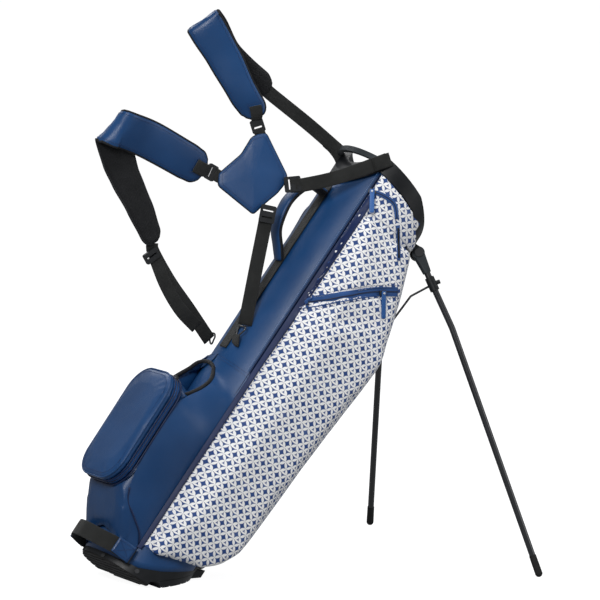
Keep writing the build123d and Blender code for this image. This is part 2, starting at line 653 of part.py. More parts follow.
with BuildPart() as bottle_pocket:
    with BuildSketch(Plane.XY.offset(BOTTLE_LOW - 5)):
        with Locations(((BOTTLE_X - 5 - 60) / 2, 0)):
            RectangleRounded(-BOTTLE_X + 5 - 60, 150, 24)
    extrude(amount=200)
    add(side_prism([(-60, 180), (BOTTLE_X - 6, 180), (BOTTLE_X - 6, mouth_z(BOTTLE_X - 6)),
                    (-60, mouth_z(-60))]), mode=Mode.INTERSECT)
    with BuildSketch(Plane.YZ):
        with BuildLine():
            Polyline((-75, 190), (75, 190), (75, 300), (50, 410), (-50, 410), (-75, 300),
                     close=True)
        make_face()
    extrude(amount=WIDE, both=True, mode=Mode.INTERSECT)
    add(tube_solid(GAP), mode=Mode.SUBTRACT)
    with BuildSketch(Plane.XY.offset(BOTTLE_LOW)):
        with Locations(((BOTTLE_X - 60) / 2, 0)):
            RectangleRounded(-BOTTLE_X - 60, 2 * BOTTLE_HALF, 16)
    extrude(amount=260, mode=Mode.SUBTRACT)
bottle_body = bottle_pocket.part.solids().sort_by(lambda s: s.volume)[-1]
save(bottle_body, "bottle_pocket")

mouth_centre = Vector(-122, 0, mouth_z(-122))
with BuildPart() as bottle_rim:
    with BuildSketch(Plane(origin=mouth_centre + mouth_up * 0.3, x_dir=mouth_way,
                           z_dir=mouth_up)):
        RectangleRounded(90, 2 * BOTTLE_HALF + 12, 24)
        RectangleRounded(78, 2 * BOTTLE_HALF, 19, mode=Mode.SUBTRACT)
    extrude(amount=4)
    add(tube_solid(GAP), mode=Mode.SUBTRACT)
save(bottle_rim.part.solids().sort_by(lambda s: s.volume)[-1], "bottle_rim")

# ---- webbing and grab handle on the spine -------------------------------------------------
def spine_x(z):
    return tube_centre(z) - tube_radius(z)


WEB_THICK = 2
with BuildPart() as spine_webbing:
    low, high = 415, 772
    add(side_prism([(spine_x(low) - GAP, low), (spine_x(high) - GAP, high),
                    (spine_x(high) - GAP - WEB_THICK, high),
                    (spine_x(low) - GAP - WEB_THICK, low)], 13))
save(spine_webbing.part, "spine_webbing")

HANDLE_THICK = 14
with BuildPart() as grab_handle:
    with BuildLine() as handle_line:
        FilletPolyline((spine_x(752) - 8, 0, 752), (-140, 0, 750), (-156, 0, 700),
                       (-146, 0, 648), (spine_x(612) - 8, 0, 612), radius=18)
    with BuildSketch(Plane(origin=handle_line.line @ 0, x_dir=(0, 1, 0),
                           z_dir=handle_line.line % 0)):
        RectangleRounded(30, HANDLE_THICK, 5)
    sweep()
    add(side_prism([(spine_x(0) - 3, 0), (spine_x(870) - 3, 870), (60, 870), (60, 0)]),
        mode=Mode.SUBTRACT)
save(grab_handle.part.solids().sort_by(lambda s: s.volume)[-1], "grab_handle")

# ---- lift loop on the base ----------------------------------------------------------------
LOOP_X, LOOP_HIGH = -154, 30
with BuildPart() as lift_loop:
    with BuildLine() as loop_line:
        FilletPolyline((-76, -83, 2), (-118, -71, 2), (LOOP_X, -14, 2), (LOOP_X, 14, 2),
                       (-118, 71, 2), (-76, 83, 2), radius=8)
    with BuildSketch(Plane(origin=loop_line.line @ 0, x_dir=(0, 0, 1),
                           z_dir=loop_line.line % 0)):
        Rectangle(LOOP_HIGH, 3)
    sweep()
    add(cup_body(BASE_RADIUS + 2), mode=Mode.SUBTRACT)
    add(tube_solid(2), mode=Mode.SUBTRACT)
    add(ball_pocket_body.part, mode=Mode.SUBTRACT)
save(lift_loop.part.solids().sort_by(lambda s: s.volume)[-1], "lift_loop")

# ---- strap system -------------------------------------------------------------------------
HUB_FACE = Vector(-0.45, -0.893, 0)
hub_corners = [(-286, 31, 666), (-283, 30, 676), (-272, 24, 719), (-273, 24, 755), (-267, 21, 767),
               (-257, 16, 776), (-192, -17, 731), (-189, -18, 715), (-191, -17, 695),
               (-199, -13, 666), (-205, -10, 639), (-276, 26, 648)]
hub_plane = Plane(origin=(-205, -10, 705), x_dir=(0.893, -0.45, 0), z_dir=HUB_FACE)
with BuildPart() as strap_hub:
    with BuildSketch(hub_plane):
        with BuildLine():
            flat = [hub_plane.to_local_coords(Vector(*corner)) for corner in hub_corners]
            Polyline(*[(corner.X, corner.Y) for corner in flat], close=True)
        make_face()
    extrude(amount=6, both=True)
save(strap_hub.part, "strap_hub")

PAD_THICK, PAD_WIDE = 11, 66
left_pad = [((-312, 37, 656), (0.13, 0.15, -0.98), 40), ((-330, 35, 652), (0.13, 0.15, -0.98), 56),
            ((-357, 33, 648), (0.13, 0.15, -0.98), 63),
            ((-441, 25, 634), (0.11, 0.16, -0.98), PAD_WIDE),
            ((-498, 8, 617), (0.08, 0.22, -0.97), PAD_WIDE),
            ((-510, 10, 612), (0.08, 0.16, -0.98), PAD_WIDE),
            ((-516, 18, 610), (0.04, 0.05, -1.0), PAD_WIDE),
            ((-515, 28, 608), (-0.14, -0.03, -0.99), PAD_WIDE),
            ((-507, 36, 604), (-0.35, 0, -0.94), PAD_WIDE),
            ((-466, 38, 575), (-0.52, -0.12, -0.84), PAD_WIDE),
            ((-437, 31, 554), (-0.6, -0.22, -0.77), 64),
            ((-391, 15, 525), (-0.61, -0.27, -0.74), 58),
            ((-349, 6, 498), (-0.61, -0.3, -0.73), 48), ((-334, 5, 489), (-0.61, -0.27, -0.74), 38)]
right_pad = [((-288, 25, 789), (0.35, -0.39, 0.85), 36), ((-302, 26, 799), (0.35, -0.39, 0.85), 45),
             ((-333, 29, 810), (0.35, -0.39, 0.85), 50),
             ((-397, 46, 844), (0.35, -0.39, 0.85), 59),
             ((-448, 58, 867), (0.27, -0.35, 0.9), 64), ((-458, 65, 875), (0.24, -0.34, 0.91), 65),
             ((-440, 71, 875), (0.2, -0.21, 0.96), 64), ((-366, 81, 859), (0.13, -0.07, 0.99), 52),
             ((-290, 82, 858), (0.04, -0.02, 1.0), 46), ((-267, 81, 857), (0.04, -0.02, 1.0), 36)]
save(ribbon(left_pad, PAD_THICK), "shoulder_pad_left")
save(ribbon(right_pad, PAD_THICK), "shoulder_pad_right")

WEB_WIDE = 25
left_lower = [((-323, 7, 475), (-0.56, -0.02, -0.83), WEB_WIDE),
              ((-261, 6, 450), (-0.56, -0.02, -0.83), WEB_WIDE),
              ((-188, 20, 434), (-0.56, -0.02, -0.83), WEB_WIDE),
              ((-134, 30, 419), (-0.56, -0.02, -0.83), WEB_WIDE)]
right_upper = [((-261, 80, 855), (0.04, -0.14, 0.99), WEB_WIDE),
               ((-161, 76, 855), (0.04, -0.14, 0.99), WEB_WIDE),
               ((-86, 72, 852), (0.04, -0.14, 0.99), WEB_WIDE)]
save(ribbon(left_lower, 4), "lower_webbing_left")
save(ribbon(right_upper, 4), "upper_webbing_right")
hub_to_peak = [((-166, -42, 733), (-0.55, 0.12, 0.83), WEB_WIDE),
               ((-124, -62, 782), (-0.55, 0.12, 0.83), WEB_WIDE),
               ((-72, -80, 856), (-0.55, 0.12, 0.83), WEB_WIDE)]
hub_to_ring = [((-182, -27, 632), (-0.6, 0.4, -0.35), WEB_WIDE),
               ((-112, -29, 476), (-0.6, 0.4, -0.35), WEB_WIDE)]
save(Compound([ribbon(hub_to_peak, 3), ribbon(hub_to_ring, 3)]), "hub_webbings")


def frame_buckle(centre, along, outward, length, width, thickness, slots):
    """A flat moulded buckle with slots across it."""
    along = Vector(*along).normalized()
    outward = Vector(*outward)
    outward = (outward - along * outward.dot(along)).normalized()
    with BuildPart() as buckle:
        with BuildSketch(Plane(origin=centre, x_dir=along, z_dir=outward)):
            RectangleRounded(length, width, 3)
            for place in slots:
                with Locations((place * length, 0)):
                    Rectangle(3, width - 9, mode=Mode.SUBTRACT)
        extrude(amount=thickness / 2, both=True)
    return buckle.part


save(Compound([frame_buckle((-298, 35, 661), (-21, 1, -3), HUB_FACE, 19, 29, 5, (0.1,)),
               frame_buckle((-275, 25, 779), (0.73, -0.26, -0.63), HUB_FACE, 24, 24, 5, (0.1,))]),
     "strap_buckles")
save(Compound([frame_buckle((-182, -32.5, 722), (0.69, -0.35, 0.62), HUB_FACE, 30, 28, 5,
                            (-0.2, 0.2)),
               frame_buckle((-190, -28.5, 651), (0.32, -0.16, -0.92), HUB_FACE, 32, 28, 5,
                            (-0.2, 0.2)),
               frame_buckle((-326, 0, 466), (0.93, 0, -0.37), (0, -1, 0), 20, 30, 5, (0,))]),
     "strap_adjusters")


def wire_ring(corners, radius=1.6):
    """A closed triangle of wire, rounded at its corners."""
    with BuildPart() as ring:
        with BuildLine() as loop:
            FilletPolyline(*corners, radius=5, close=True)
        with BuildSketch(Plane(origin=loop.line @ 0, z_dir=loop.line % 0)):
            Circle(radius)
        sweep()
    return ring.part


save(Compound([wire_ring([(-109, -28 - 16, 462), (-109, -28 + 16, 462), (-109, -28, 436)]),
               wire_ring([(-124, 28 - 14, 430), (-124, 28 + 14, 430), (-112, 28, 408)])]),
     "strap_rings")
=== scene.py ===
"""Looks of the golf stand bag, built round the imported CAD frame.

Shapes are laid out in the bag's upright frame, in millimetres: z up the club tube, +x towards the
belly, -y the left side. spot() leans a point back with the bag and gives row metres.
"""
from math import atan2, copysign, cos, degrees, pi, radians, sin, sqrt

import bmesh
import bpy
import numpy as np
from mathutils import Matrix, Vector, noise
from mathutils.bvhtree import BVHTree


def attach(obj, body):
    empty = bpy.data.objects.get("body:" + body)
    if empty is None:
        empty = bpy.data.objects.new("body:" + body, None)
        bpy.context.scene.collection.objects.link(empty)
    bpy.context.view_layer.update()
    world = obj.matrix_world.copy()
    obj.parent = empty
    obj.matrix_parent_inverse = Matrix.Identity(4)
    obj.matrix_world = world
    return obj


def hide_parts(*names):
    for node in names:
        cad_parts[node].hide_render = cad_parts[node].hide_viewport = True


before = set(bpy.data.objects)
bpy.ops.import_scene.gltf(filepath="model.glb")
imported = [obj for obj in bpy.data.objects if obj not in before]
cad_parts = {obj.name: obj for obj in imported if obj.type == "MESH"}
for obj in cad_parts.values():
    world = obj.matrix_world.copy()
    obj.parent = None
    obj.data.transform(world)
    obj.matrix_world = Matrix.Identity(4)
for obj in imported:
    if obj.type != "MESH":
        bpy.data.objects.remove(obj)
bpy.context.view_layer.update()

LEAN = radians(36.4)
SIDES = (("left", -1), ("right", 1))
SIN, COS = sin(LEAN), cos(LEAN)
SHIFT_X = -55 + 18 * COS + 27 * SIN
SHIFT_Z = -18 * SIN + 27 * COS


def spot(point):
    x, y, z = point
    return Vector((x * COS + z * SIN + SHIFT_X, y, -x * SIN + z * COS + SHIFT_Z)) / 1000


def bag(place):
    """The bag-frame millimetres of a point in row metres."""
    x, y, z = (1000 * value for value in place)
    x, z = x - SHIFT_X, z - SHIFT_Z
    return Vector((x * COS - z * SIN, y, x * SIN + z * COS))


def clamp(value):
    return max(0.0, min(1.0, value))


def ease(value):
    """A smooth step from 0 to 1."""
    return value * value * (3 - 2 * value)


def show(item):
    bpy.context.scene.collection.objects.link(item)


# ---- camera, light and floor --------------------------------------------------------------
AZIMUTH, HEIGHT_ANGLE, ROLL = radians(-30.21), radians(7.14), radians(0.88)
AIM, AWAY = Vector((0.29534, 0, 0.48549)), 8
back = Vector((sin(AZIMUTH) * cos(HEIGHT_ANGLE),
               -cos(AZIMUTH) * cos(HEIGHT_ANGLE), sin(HEIGHT_ANGLE)))
camera_data = bpy.data.cameras.new("camera")
camera_data.lens, camera_data.sensor_width = 265.48, 36
camera_data.clip_end = 60
camera = bpy.data.objects.new("camera", camera_data)
camera.matrix_world = (Matrix.Translation(AIM + back * AWAY)
                       @ back.to_track_quat("Z", "Y").to_matrix().to_4x4()
                       @ Matrix.Rotation(ROLL, 4, "Z"))
show(camera)
bpy.context.scene.camera = camera
bpy.context.scene.view_settings.view_transform = "Standard"


def area_light(name, place, aim, size, power):
    light = bpy.data.lights.new(name, "AREA")
    light.size, light.energy = size, power
    lamp = bpy.data.objects.new(name, light)
    lamp.location = place
    lamp.rotation_euler = (Vector(aim) - Vector(place)).to_track_quat("-Z", "Y").to_euler()
    show(lamp)


area_light("key", (-2.4, -2.4, 2.6), (0.2, 0, 0.5), 1.1, 86)
area_light("fill", (2.6, -2.4, 1.2), (0.3, 0, 0.5), 2.2, 24)
area_light("rim", (0.4, 2.6, 2.8), (0.3, 0, 0.6), 2.0, 34)
area_light("top", (0.2, -0.4, 3.4), (0.2, 0, 0.4), 1.6, 30)

world = bpy.data.worlds.new("studio")
world.use_nodes = True
sky = world.node_tree.nodes["Background"].inputs
sky["Color"].default_value = (0.95, 0.97, 1, 1)
sky["Strength"].default_value = 0.30
bpy.context.scene.world = world


# ---- materials ----------------------------------------------------------------------------
class Shader:
    """A node material, with short calls for the few node kinds used here."""

    def __init__(self, name, rough, specular, coat=0.0, coat_rough=0.2, sheen=0.0):
        self.material = bpy.data.materials.new(name)
        self.material.use_nodes = True
        self.tree = self.material.node_tree
        self.surface = self.tree.nodes["Principled BSDF"]
        for socket, value in (("Roughness", rough), ("Specular IOR Level", specular),
                              ("Coat Weight", coat), ("Coat Roughness", coat_rough),
                              ("Sheen Weight", sheen), ("Sheen Roughness", 0.4)):
            self.surface.inputs[socket].default_value = value
        self.coords = self.tree.nodes.new("ShaderNodeTexCoord")

    def node(self, kind, **settings):
        made = self.tree.nodes.new(kind)
        for key, value in settings.items():
            setattr(made, key, value)
        return made

    def put(self, value, socket):
        if hasattr(value, "is_linked"):
            self.tree.links.new(value, socket)
        else:
            socket.default_value = value

    def math(self, operation, first, second=0.0, third=0.0):
        made = self.node("ShaderNodeMath", operation=operation)
        for value, socket in zip((first, second, third), made.inputs):
            self.put(value, socket)
        return made.outputs[0]

    def mix(self, amount, first, second):
        made = self.node("ShaderNodeMix", data_type="RGBA")
        for value, socket in ((amount, made.inputs[0]), (first, made.inputs[6]),
                              (second, made.inputs[7])):
            self.put(value, socket)
        return made.outputs[2]

    def noise(self, scale, detail):
        made = self.node("ShaderNodeTexNoise")
        made.inputs["Scale"].default_value = scale
        made.inputs["Detail"].default_value = detail
        self.put(self.coords.outputs["Object"], made.inputs["Vector"])
        return made.outputs["Fac"]

    def cells(self, scale, feature="F1"):
        made = self.node("ShaderNodeTexVoronoi", feature=feature)
        made.inputs["Scale"].default_value = scale
        self.put(self.coords.outputs["Object"], made.inputs["Vector"])
        return made.outputs["Distance"]

    def ramp(self, value, low, high, start=0.0, stop=1.0):
        made = self.node("ShaderNodeMapRange", clamp=True)
        for item, socket in zip((value, low, high, start, stop), made.inputs):
            self.put(item, socket)
        return made.outputs[0]

    def colour(self, value):
        self.put(value, self.surface.inputs["Base Color"])

    def roughness(self, value):
        self.put(value, self.surface.inputs["Roughness"])

    def bump(self, height, strength, distance, under=None):
        made = self.node("ShaderNodeBump")
        made.inputs["Strength"].default_value = strength
        made.inputs["Distance"].default_value = distance
        self.put(height, made.inputs["Height"])
        if under is not None:
            self.put(under, made.inputs["Normal"])
        self.put(made.outputs[0], self.surface.inputs["Normal"])
        return made.outputs[0]


def leather(name, dark, light, rough=0.42):
    look = Shader(name, rough=rough, specular=0.36, coat=0.06, coat_rough=0.3)
    cloud = look.noise(6, 3)
    look.colour(look.mix(look.ramp(cloud, 0.35, 0.68), (*dark, 1), (*light, 1)))
    pores = look.cells(900, "DISTANCE_TO_EDGE")
    creases = look.noise(38, 4)
    first = look.bump(look.ramp(pores, 0, 0.25), 0.22, 0.00025)
    look.bump(creases, 0.16, 0.0016, first)
    look.roughness(look.ramp(look.noise(22, 3), 0.3, 0.7, rough - 0.07, rough + 0.1))
    return look.material


def plastic(name, tone, rough=0.5, grain=1400, strength=0.12):
    look = Shader(name, rough=rough, specular=0.3)
    cloud = look.noise(14, 3)
    light = tuple(min(1, part * 1.5 + 0.004) for part in tone)
    look.colour(look.mix(look.ramp(cloud, 0.35, 0.7), (*tone, 1), (*light, 1)))
    look.bump(look.cells(grain), strength, 0.0002)
    look.roughness(look.ramp(look.noise(60, 3), 0.3, 0.7, rough - 0.06, rough + 0.1))
    return look.material


def weave(name, tone, pitch=0.0012, rough=0.8, strength=0.5, sheen=0.12):
    """Plain woven cloth or webbing; its threads follow the piece's own flat coordinates."""
    look = Shader(name, rough=rough, specular=0.25, sheen=sheen)
    parts = look.node("ShaderNodeSeparateXYZ")
    look.put(look.coords.outputs["UV"], parts.inputs[0])
    turn = 2 * pi / pitch
    across = look.math("SINE", look.math("MULTIPLY", parts.outputs[0], turn))
    along = look.math("SINE", look.math("MULTIPLY", parts.outputs[1], turn))
    thread = look.math("MULTIPLY", across, along)
    dusty = look.noise(30, 4)
    lighter = tuple(min(1, part * 2.0 + 0.006) for part in tone)
    tint = look.math("ADD", look.ramp(dusty, 0.3, 0.75, 0, 0.6),
                     look.ramp(thread, -1, 1, 0, 0.4))
    look.colour(look.mix(tint, (*tone, 1), (*lighter, 1)))
    look.bump(thread, strength, pitch * 0.25)
    return look.material


def petal_print(name):
    """Off-white petals on blue: a lattice of lens shapes, every other cell crossed by one more."""
    look = Shader(name, rough=0.6, specular=0.35, sheen=0.1)
    do = look.math
    parts = look.node("ShaderNodeSeparateXYZ")
    look.put(look.coords.outputs["UV"], parts.inputs[0])
    pitch, turn = 0.0130, radians(43)
    flat_u, flat_v = parts.outputs[0], parts.outputs[1]

    def axis(first, second):
        return do("ADD", do("MULTIPLY", flat_u, first / pitch),
                  do("MULTIPLY", flat_v, second / pitch))

    u, v = axis(cos(turn), sin(turn)), axis(-sin(turn), cos(turn))
    in_u = do("SUBTRACT", do("FRACT", u), 0.5)
    in_v = do("SUBTRACT", do("FRACT", v), 0.5)

    def lens(side, length, half_width, half_length):
        """Above zero inside a lens centred where side and length are zero."""
        offset = (half_length**2 - half_width**2) / (2 * half_width)
        reach = do("ADD", do("ABSOLUTE", side), offset)
        distance = do("SQRT", do("ADD", do("MULTIPLY", reach, reach),
                                 do("MULTIPLY", length, length)))
        return do("SUBTRACT", offset + half_width, distance)

    from_u = do("SUBTRACT", 0.5, do("ABSOLUTE", in_u))
    from_v = do("SUBTRACT", 0.5, do("ABSOLUTE", in_v))
    petal = (0.203, 0.5)                          # half width and half length
    upright, level = lens(from_u, in_v, *petal), lens(from_v, in_u, *petal)
    number = do("ADD", do("FLOOR", u), do("FLOOR", v))
    odd = do("GREATER_THAN", do("PINGPONG", number, 1), 0.5)
    slant = do("MULTIPLY", do("ADD", in_u, in_v), 0.7071)
    cross = do("MULTIPLY", do("SUBTRACT", in_u, in_v), 0.7071)
    oblique = do("MULTIPLY", odd, lens(do("SUBTRACT", slant, 0.07), cross, 0.125, 0.6))
    oblique = do("SUBTRACT", oblique, do("SUBTRACT", 1, odd))
    inside = do("MAXIMUM", do("MAXIMUM", upright, level), oblique)
    paint = look.ramp(inside, -0.018, 0.018)
    shade = look.node("ShaderNodeTexWhiteNoise", noise_dimensions="2D")
    cell = look.node("ShaderNodeCombineXYZ")
    look.put(do("FLOOR", u), cell.inputs[0])
    look.put(do("FLOOR", v), cell.inputs[1])
    look.put(cell.outputs[0], shade.inputs["Vector"])
    blue = look.mix(look.ramp(shade.outputs[0], 0.65, 1, 0, 0.25), (0.018, 0.060, 0.22, 1),
                    (0.16, 0.24, 0.46, 1))
    white = look.mix(look.ramp(look.noise(9, 3), 0.3, 0.7), (0.90, 0.895, 0.885, 1),
                     (0.96, 0.957, 0.95, 1))
    look.colour(look.mix(paint, blue, white))
    turn = 2 * pi / 0.0011
    thread = do("MULTIPLY", do("SINE", do("MULTIPLY", flat_u, turn)),
                do("SINE", do("MULTIPLY", flat_v, turn)))
    first = look.bump(thread, 0.3, 0.0002)
    look.bump(look.noise(26, 3), 0.1, 0.0015, first)
    return look.material


def metal(name, tone, rough=0.28):
    look = Shader(name, rough=rough, specular=0.5, coat=0.4, coat_rough=0.15)
    look.colour(look.mix(look.ramp(look.noise(8, 2), 0.3, 0.7), (*tone, 1),
                         (*[part * 1.7 for part in tone], 1)))
    look.bump(look.noise(300, 3), 0.04, 0.0003)
    look.roughness(look.ramp(look.noise(40, 4), 0.3, 0.7, rough - 0.05, rough + 0.08))
    return look.material


LEATHER = leather("blue leather", (0.005, 0.040, 0.130), (0.010, 0.062, 0.190), 0.36)
LEATHER_BRIGHT = leather("bright blue leather", (0.008, 0.078, 0.28), (0.014, 0.112, 0.38), 0.38)
LEATHER_NAVY = leather("navy leather", (0.001, 0.009, 0.045), (0.002, 0.014, 0.065), 0.5)
# seam band leather: the strip is real navy leather, but its whole length takes the darker colour of
# its shaded lower part, so its dark navy is partly its own colour and partly painted shade
SEAM_BAND = leather("seam band", (0.001, 0.011, 0.062), (0.002, 0.017, 0.09), 0.55)
PRINT = petal_print("petal print")
BLACK_CLOTH = weave("black cloth", (0.008, 0.008, 0.010), 0.0014, 0.8, 0.4)
WEBBING = weave("black webbing", (0.012, 0.0125, 0.012), 0.0018, 0.72, 0.8, 0.1)
MESH_CLOTH = weave("black mesh", (0.0045, 0.005, 0.006), 0.0032, 0.85, 1.0, 0.05)
ZIP_TAPE = weave("zip tape", (0.020, 0.062, 0.19), 0.0012, 0.55, 0.4, 0.05)
BINDING = weave("edge binding", (0.006, 0.0065, 0.008), 0.001, 0.6, 0.5, 0.05)
PLASTIC = plastic("moulded black", (0.006, 0.007, 0.0085), 0.4)
PLASTIC_GREY = plastic("moulded grey black", (0.016, 0.021, 0.025), 0.5)
RUBBER = plastic("black rubber", (0.009, 0.009, 0.009), 0.75, 900, 0.3)
LEG_PAINT = metal("black leg", (0.008, 0.009, 0.011), 0.25)
DARK_STEEL = metal("dark steel", (0.018, 0.019, 0.021), 0.33)
PALE_STEEL = metal("pale steel", (0.45, 0.46, 0.48), 0.3)
THREAD = weave("blue thread", (0.10, 0.19, 0.38), 0.0008, 0.6, 0.4)
DARK_THREAD = weave("dark thread", (0.010, 0.022, 0.075), 0.0008, 0.6, 0.4)
TEETH = plastic("zip teeth", (0.012, 0.02, 0.05), 0.45)


# ---- mesh helpers -------------------------------------------------------------------------
def link(name, mesh, materials, body="root", slot=None, stands_for=()):
    piece = bpy.data.objects.new(name, mesh)
    show(piece)
    for material in materials:
        mesh.materials.append(material)
    mesh.shade_smooth()
    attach(piece, body)
    if stands_for:
        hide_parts(*stands_for)
    return piece


def build(name, points, faces, materials, uvs=None, indices=None, **rest):
    """A piece from bag-frame points; uvs are one (u, v) in metres per point."""
    mesh = bpy.data.meshes.new(name)
    mesh.from_pydata([spot(point) for point in points], [], faces)
    if indices is not None:
        mesh.polygons.foreach_set("material_index", indices)
    if uvs is not None:
        layer = mesh.uv_layers.new(name="flat")
        for loop in mesh.loops:
            layer.data[loop.index].uv = uvs[loop.vertex_index]
    mesh.validate()
    return link(name, mesh, materials, **rest)


def grid(rows, columns, base=0):
    """Quads over points laid row by row, columns + 1 to a row."""
    wide = columns + 1
    starts = [base + row * wide + column for row in range(rows) for column in range(columns)]
    return [(a, a + 1, a + wide + 1, a + wide) for a in starts]


def tube_faces(rings, sides, closed=False):
    """Quads round a tube of rings, with a cap on each end unless it is closed."""
    faces = []
    for i in range(rings if closed else rings - 1):
        j = (i + 1) % rings
        for k in range(sides):
            m = (k + 1) % sides
            faces.append((i * sides + k, i * sides + m, j * sides + m, j * sides + k))
    if not closed:
        faces.append(tuple(range(sides - 1, -1, -1)))
        faces.append(tuple(range((rings - 1) * sides, rings * sides)))
    return faces


def distances(points):
    """How far along the line each point lies."""
    marks = [0.0]
    for a, b in zip(points, points[1:]):
        marks.append(marks[-1] + (b - a).length)
    return marks


def bow(points, count=0, step=6.0):
    """A smooth curve through points, as evenly spaced samples about step apart."""
    pts = [Vector(point) for point in points]
    if len(pts) == 2:
        fine = [pts[0].lerp(pts[1], i / 40) for i in range(41)]
    else:
        ends = [pts[0] * 2 - pts[1], *pts, pts[-1] * 2 - pts[-2]]
        fine = []
        for a, b, c, d in zip(ends, ends[1:], ends[2:], ends[3:]):
            for i in range(24):
                t = i / 24
                fine.append(0.5 * (2 * b + (c - a) * t + (2 * a - 5 * b + 4 * c - d) * t * t
                                   + (3 * b - a - 3 * c + d) * t**3))
        fine.append(pts[-1])
    marks = distances(fine)
    count = count or max(2, round(marks[-1] / step) + 1)
    result, at = [], 0
    for i in range(count):
        want = marks[-1] * i / (count - 1)
        while at < len(marks) - 2 and marks[at + 1] < want:
            at += 1
        span = max(1e-9, marks[at + 1] - marks[at])
        result.append(fine[at].lerp(fine[at + 1], min(1, (want - marks[at]) / span)))
    return result


def headings(points, closed=False):
    result = []
    for i, point in enumerate(points):
        before = points[i - 1] if (i or closed) else point
        after = points[(i + 1) % len(points)] if (i < len(points) - 1 or closed) else point
        result.append((after - before).normalized())
    return result


def piping(name, points, radius, material, closed=False, sides=8, **rest):
    """A round cord laid along points."""
    ways = headings(points, closed)
    side = ways[0].orthogonal().normalized()
    verts, uvs, run = [], [], 0.0
    for i, (point, heading) in enumerate(zip(points, ways)):
        side = (side - heading * side.dot(heading)).normalized()
        up = heading.cross(side)
        run += (point - points[i - 1]).length if i else 0
        for k in range(sides):
            angle = 2 * pi * k / sides
            verts.append(point + (side * cos(angle) + up * sin(angle)) * radius)
            uvs.append((k / sides * 2 * pi * radius / 1000, run / 1000))
    return build(name, verts, tube_faces(len(points), sides, closed), [material], uvs, **rest)


def stitches(name, points, outward, material=THREAD, pitch=3.4, length=2.3, radius=0.42,
             **rest):
    """A row of short stitches along points, lying on the side that outward gives."""
    path = bow(points, step=pitch)
    ways = headings(path)
    verts, faces = [], []
    for point, heading in zip(path, ways):
        lift = outward(point) if callable(outward) else Vector(outward)
        lift = (lift - heading * lift.dot(heading)).normalized()
        side = heading.cross(lift)
        base = len(verts)
        for along, size in ((-0.5, 0.45), (-0.3, 1), (0.3, 1), (0.5, 0.45)):
            for a, b in ((1, 0), (0, 1), (-1, 0), (0, -1)):
                verts.append(point + heading * along * length
                             + (side * a + lift * b) * radius * size)
        for ring in range(3):
            for k in range(4):
                m = (k + 1) % 4
                row = base + 4 * ring
                faces.append((row + k, row + m, row + 4 + m, row + 4 + k))
        faces.append((base + 3, base + 2, base + 1, base))
        faces.append((base + 12, base + 13, base + 14, base + 15))
    return build(name, verts, faces, [material], [(0, 0)] * len(verts), **rest)


def strap(name, stations, thickness, materials, crown=0.0, step=5.0, edge=None, flip=False,
          ends=0.0, border=0.0, **rest):
    """A band through stations of (point, across, width), with a rounded, crowned section.

    The first material covers the outer face, the second, if given, the inner one. edge is the
    radius of a bound rim, ends rounds the two ends over that length, and border is how far from
    the rim a row of stitches runs.
    """
    pts = bow([station[0] for station in stations], step=step)
    marks = distances(pts)
    nearest = []
    for station in stations:
        gaps = [(Vector(station[0]) - point).length for point in pts]
        nearest.append(marks[gaps.index(min(gaps))])
    ways = headings(pts)
    ring = 20
    verts, uvs, edges, sewn = [], [], ([], []), ([], [])
    for point, heading, mark in zip(pts, ways, marks):
        k = max(0, min(len(stations) - 2, sum(1 for place in nearest if place <= mark) - 1))
        t = (mark - nearest[k]) / max(1e-6, nearest[k + 1] - nearest[k])
        t = ease(clamp(t))
        across = Vector(stations[k][1]).lerp(Vector(stations[k + 1][1]), t)
        across = (across - heading * across.dot(heading)).normalized()
        out = heading.cross(across) * (-1 if flip else 1)
        half = (stations[k][2] + (stations[k + 1][2] - stations[k][2]) * t) / 2
        near_end = min(mark, marks[-1] - mark)
        if ends and near_end < ends:
            half *= 0.42 + 0.58 * sqrt(max(0, 1 - (1 - near_end / ends) ** 2))
        thick = thickness / 2
        if ends and near_end < ends * 0.4:
            thick *= 0.45 + 0.55 * sqrt(max(0, 1 - (1 - near_end / ends / 0.4) ** 2))
        for i in range(ring):
            angle = 2 * pi * i / ring
            c, s = cos(angle), sin(angle)
            x = copysign(abs(c) ** 0.35, c) * half
            lobe = copysign(abs(s) ** 0.7, s)
            bulge = crown * (1 - (x / half) ** 2) * lobe
            verts.append(point + across * x + out * (lobe * thick + bulge))
            uvs.append((x / 1000, mark / 1000))
        if border:
            inner = half - border
            rise = thick * (1 - (inner / half) ** 5.7) ** 0.35 + crown * (1 - (inner / half) ** 2)
            for row, way in zip(sewn, (1, -1)):
                row.append((point + across * inner * way + out * (rise + 0.2), out))
        edges[0].append(point + across * half)
        edges[1].append(point - across * half)
    around = [0 if len(materials) == 1 or i < ring // 2 else 1 for i in range(ring)]
    indices = around * (len(pts) - 1) + [0, 0]
    piece = build(name, verts, tube_faces(len(pts), ring), materials, uvs, indices, **rest)
    if edge:
        loop = edges[0] + edges[1][::-1]
        piping(name + "_binding", loop, edge, BINDING, closed=True)
    if border:
        for number, row in enumerate(sewn):
            stitches(f"{name}_border_{number}", [place for place, _ in row[3:-3]],
                     row[len(row) // 2][1], DARK_THREAD)
    return piece


